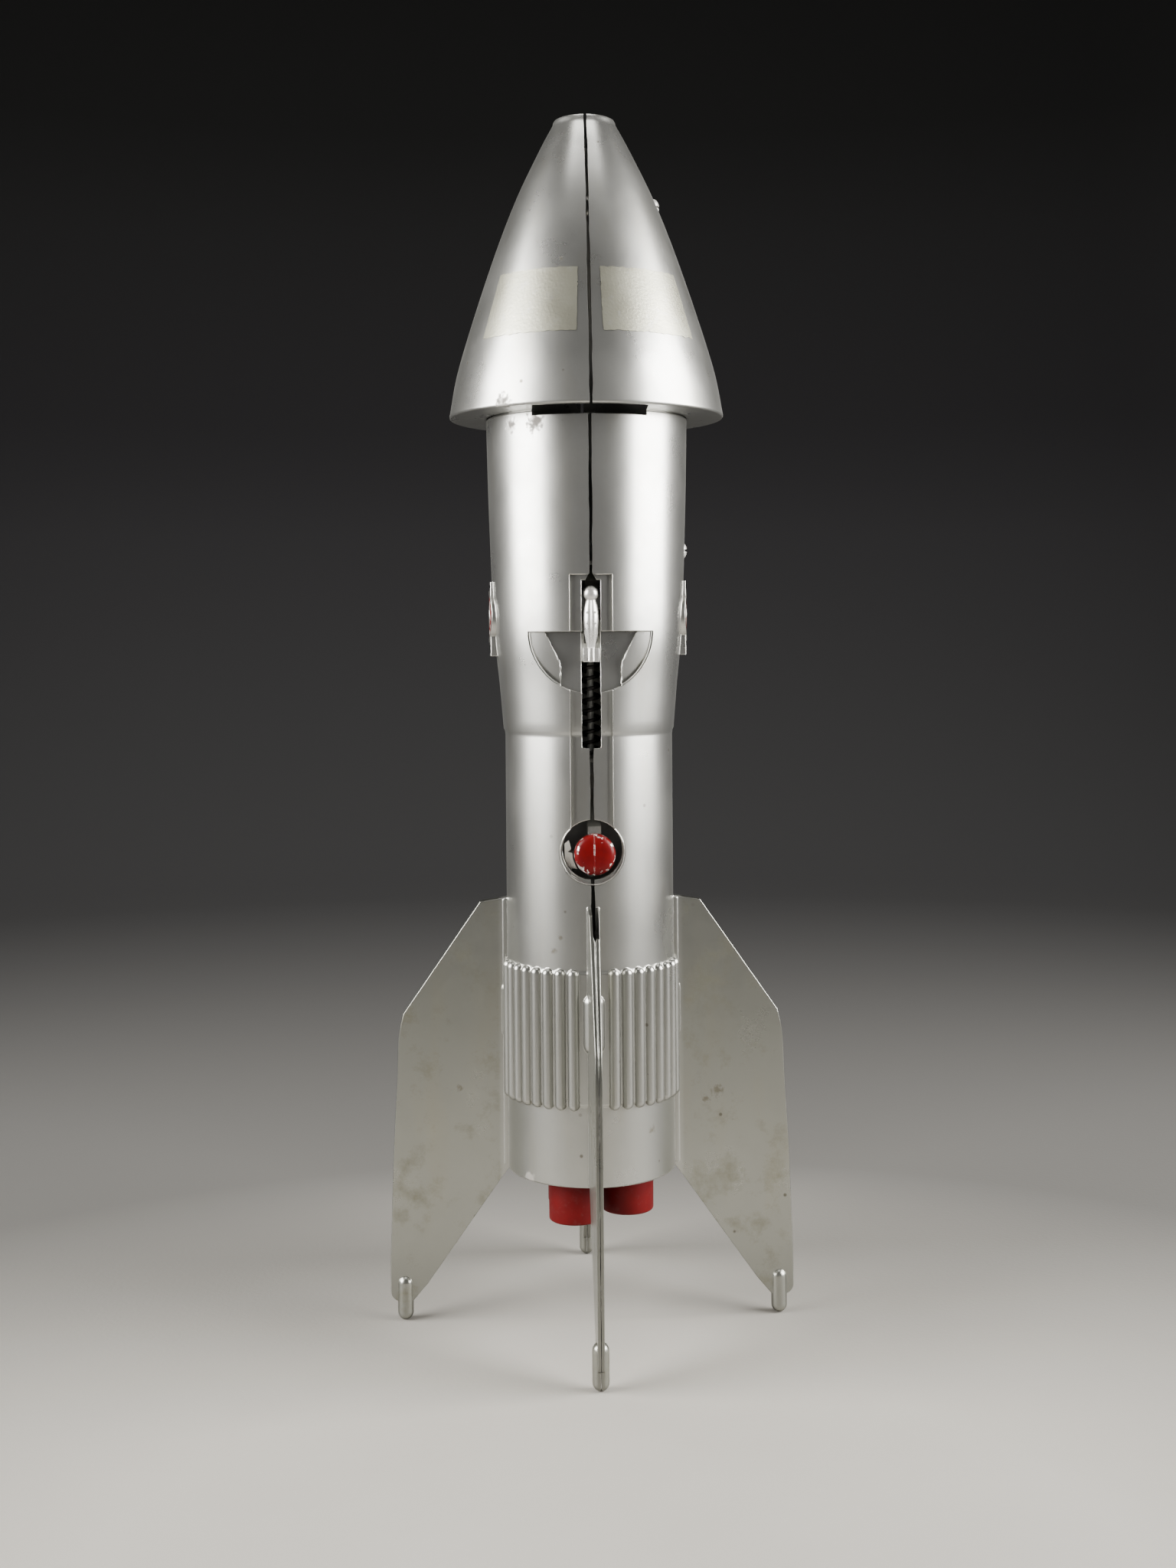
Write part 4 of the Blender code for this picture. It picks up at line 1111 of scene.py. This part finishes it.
def floor_cloth():
    """Pale warm paper floor with a few faint marks, sweeping up into a wall, with a painted pool of light in
    front and painted shade up the wall.
    """
    floor = Finish("pale_floor")
    _, _, z = floor.split(floor.place)
    cloudy = floor.level(floor.noise(9, 6, 0.6), 0.3, 0.7)
    colour = floor.colour(cloudy, (0.335, 0.320, 0.292), (0.305, 0.290, 0.265))
    # Painted pool of light: pale round a point in front of the rocket, darker farther off.
    away = floor.vector("DISTANCE", floor.place, (0, -0.12, 0))["Value"]
    colour = floor.colour(floor.level(away, 0.09, 0.25), colour, (0.105, 0.102, 0.096))
    colour = floor.colour(floor.level(away, 0.25, 0.9), colour, (0.085, 0.084, 0.086))
    mark = floor.level(floor.noise(120, 7, 0.7), 0.70, 0.78)
    colour = floor.tint(colour, mark, 0.35, (0.34, 0.29, 0.22))
    # Painted shade: the wall darkens with height.
    colour = floor.colour(floor.level(z, 0.0, 0.35), colour, (0.034, 0.032, 0.036))
    colour = floor.colour(floor.level(z, 0.25, 0.62), colour, (0.002, 0.002, 0.002))
    return floor.done(colour, 0.75, 0.0, floor.bump(floor.noise(900, 4), 0.05))


def slot_materials():
    steel = plain_metal("steel_plated", (0.70, 0.70, 0.67), (0.50, 0.49, 0.46), 0.38, metallic=0.7)
    bright = plain_metal("missile_bright", (0.84, 0.83, 0.80), (0.62, 0.61, 0.58), 0.26, 700, 0.05, 0.8)
    zinc = plain_metal("bare_zinc", (0.66, 0.66, 0.62), (0.46, 0.46, 0.42), 0.50, 600, 0.06, 0.45)
    return {
        "cast_paint": cast_paint(),
        "red_paint": red_paint(),
        "red_plastic": moulded("red_moulding", (0.105, 0.003, 0.004), (0.075, 0.002, 0.003), 0.45),
        "missile_metal": bright,
        "bare_casting": zinc,
        "steel": steel,
        "spring_steel": plain_metal("black_wire", (0.055, 0.05, 0.05), (0.02, 0.02, 0.02), 0.36),
        "fibre": moulded("fibre_washer", (0.13, 0.085, 0.06), (0.08, 0.055, 0.04), 0.8, 1200),
        "rubber": moulded("black_rubber", (0.035, 0.035, 0.035), (0.02, 0.02, 0.02), 0.7, 800),
    }


def finish_frame_nodes(materials):
    """The CAD nodes that still show get the finish of their slot."""
    for entry in frame["record"]["subparts"]:
        node = frame["nodes"][entry["node"]]
        node.data.materials.clear()
        node.data.materials.append(materials[entry["material_slot"]])


# ---------------------------------------------------------------- stage

def make_floor():
    """A flat round floor that curves up into a wall all the way round."""
    flat, bend, wall = 720.0, 520.0, 1900.0
    outline = [(0, 0), (200, 0), (450, 0), (flat, 0)]
    outline += [(flat + bend * math.sin(math.radians(a)), bend * (1 - math.cos(math.radians(a))))
                for a in range(6, 91, 6)]
    outline.append((flat + bend, wall))
    floor = turned("floor", outline, shift(0, 0, -0.05), 96)
    floor.data.shade_smooth()
    floor.data.materials.append(floor_cloth())


def soft_light(name, place, aim, width, height, power, colour=(1.0, 0.985, 0.95)):
    light = bpy.data.lights.new(name, "AREA")
    light.shape = "RECTANGLE"
    light.size = width
    light.size_y = height
    light.energy = power
    light.color = colour
    lamp = bpy.data.objects.new(name, light)
    lamp.location = place
    lamp.rotation_euler = (Vector(aim) - Vector(place)).to_track_quat("-Z", "Y").to_euler()
    lamp.visible_camera = False
    bpy.context.scene.collection.objects.link(lamp)


def make_lights():
    soft_light("left_softbox", (-0.50, -0.17, 0.36), (0, -0.17, 0.33), 0.40, 0.46, 13)
    soft_light("right_softbox", (0.50, -0.16, 0.36), (0, -0.16, 0.33), 0.44, 0.46, 15)
    soft_light("top_softbox", (0, -0.05, 0.80), (0, -0.05, 0), 0.4, 0.3, 1.8)
    soft_light("front_fill", (0, -1.05, 0.45), (0, 0, 0.12), 1.2, 0.9, 0.5)
    world = bpy.data.worlds.new("dark_room")
    world.use_nodes = True
    world.node_tree.nodes["Background"].inputs["Color"].default_value = (0.010, 0.010, 0.011, 1)
    bpy.context.scene.world = world


def make_camera():
    """Level camera in front and slightly to the left, shifted down, with the photograph's framing."""
    camera = bpy.data.cameras.new("camera")
    camera.sensor_fit = "VERTICAL"
    camera.sensor_height = 36.0
    camera.lens = 42.19
    camera.shift_y = -0.09
    camera.clip_end = 20
    stand = bpy.data.objects.new("camera", camera)
    place = Vector((-0.015, -0.431, 0.1577))
    look = Vector((0, 0, place.z)) - place
    turn = look.to_track_quat("-Z", "Y").to_matrix().to_4x4()
    stand.matrix_world = Matrix.Translation(place) @ turn @ Matrix.Rotation(math.radians(-0.45), 4, "Z")
    bpy.context.scene.collection.objects.link(stand)
    bpy.context.scene.camera = stand


# ---------------------------------------------------------------- scene

def main():
    materials = slot_materials()
    finish_frame_nodes(materials)
    for make, slot in ((make_nose, "cast_paint"), (make_body, "cast_paint"), (make_burrs, "cast_paint"),
                       (make_badge_fields, "red_paint"), (make_missile, "missile_metal"),
                       (make_spring, "spring_steel"), (make_lever, "bare_casting"),
                       (make_button, "red_paint"), (make_leaf_spring, "steel"), (make_screws, "steel"),
                       (make_nozzles, "red_plastic")):
        make(materials[slot])
    make_stickers(aged_film())
    make_floor()
    make_lights()
    make_camera()


main()
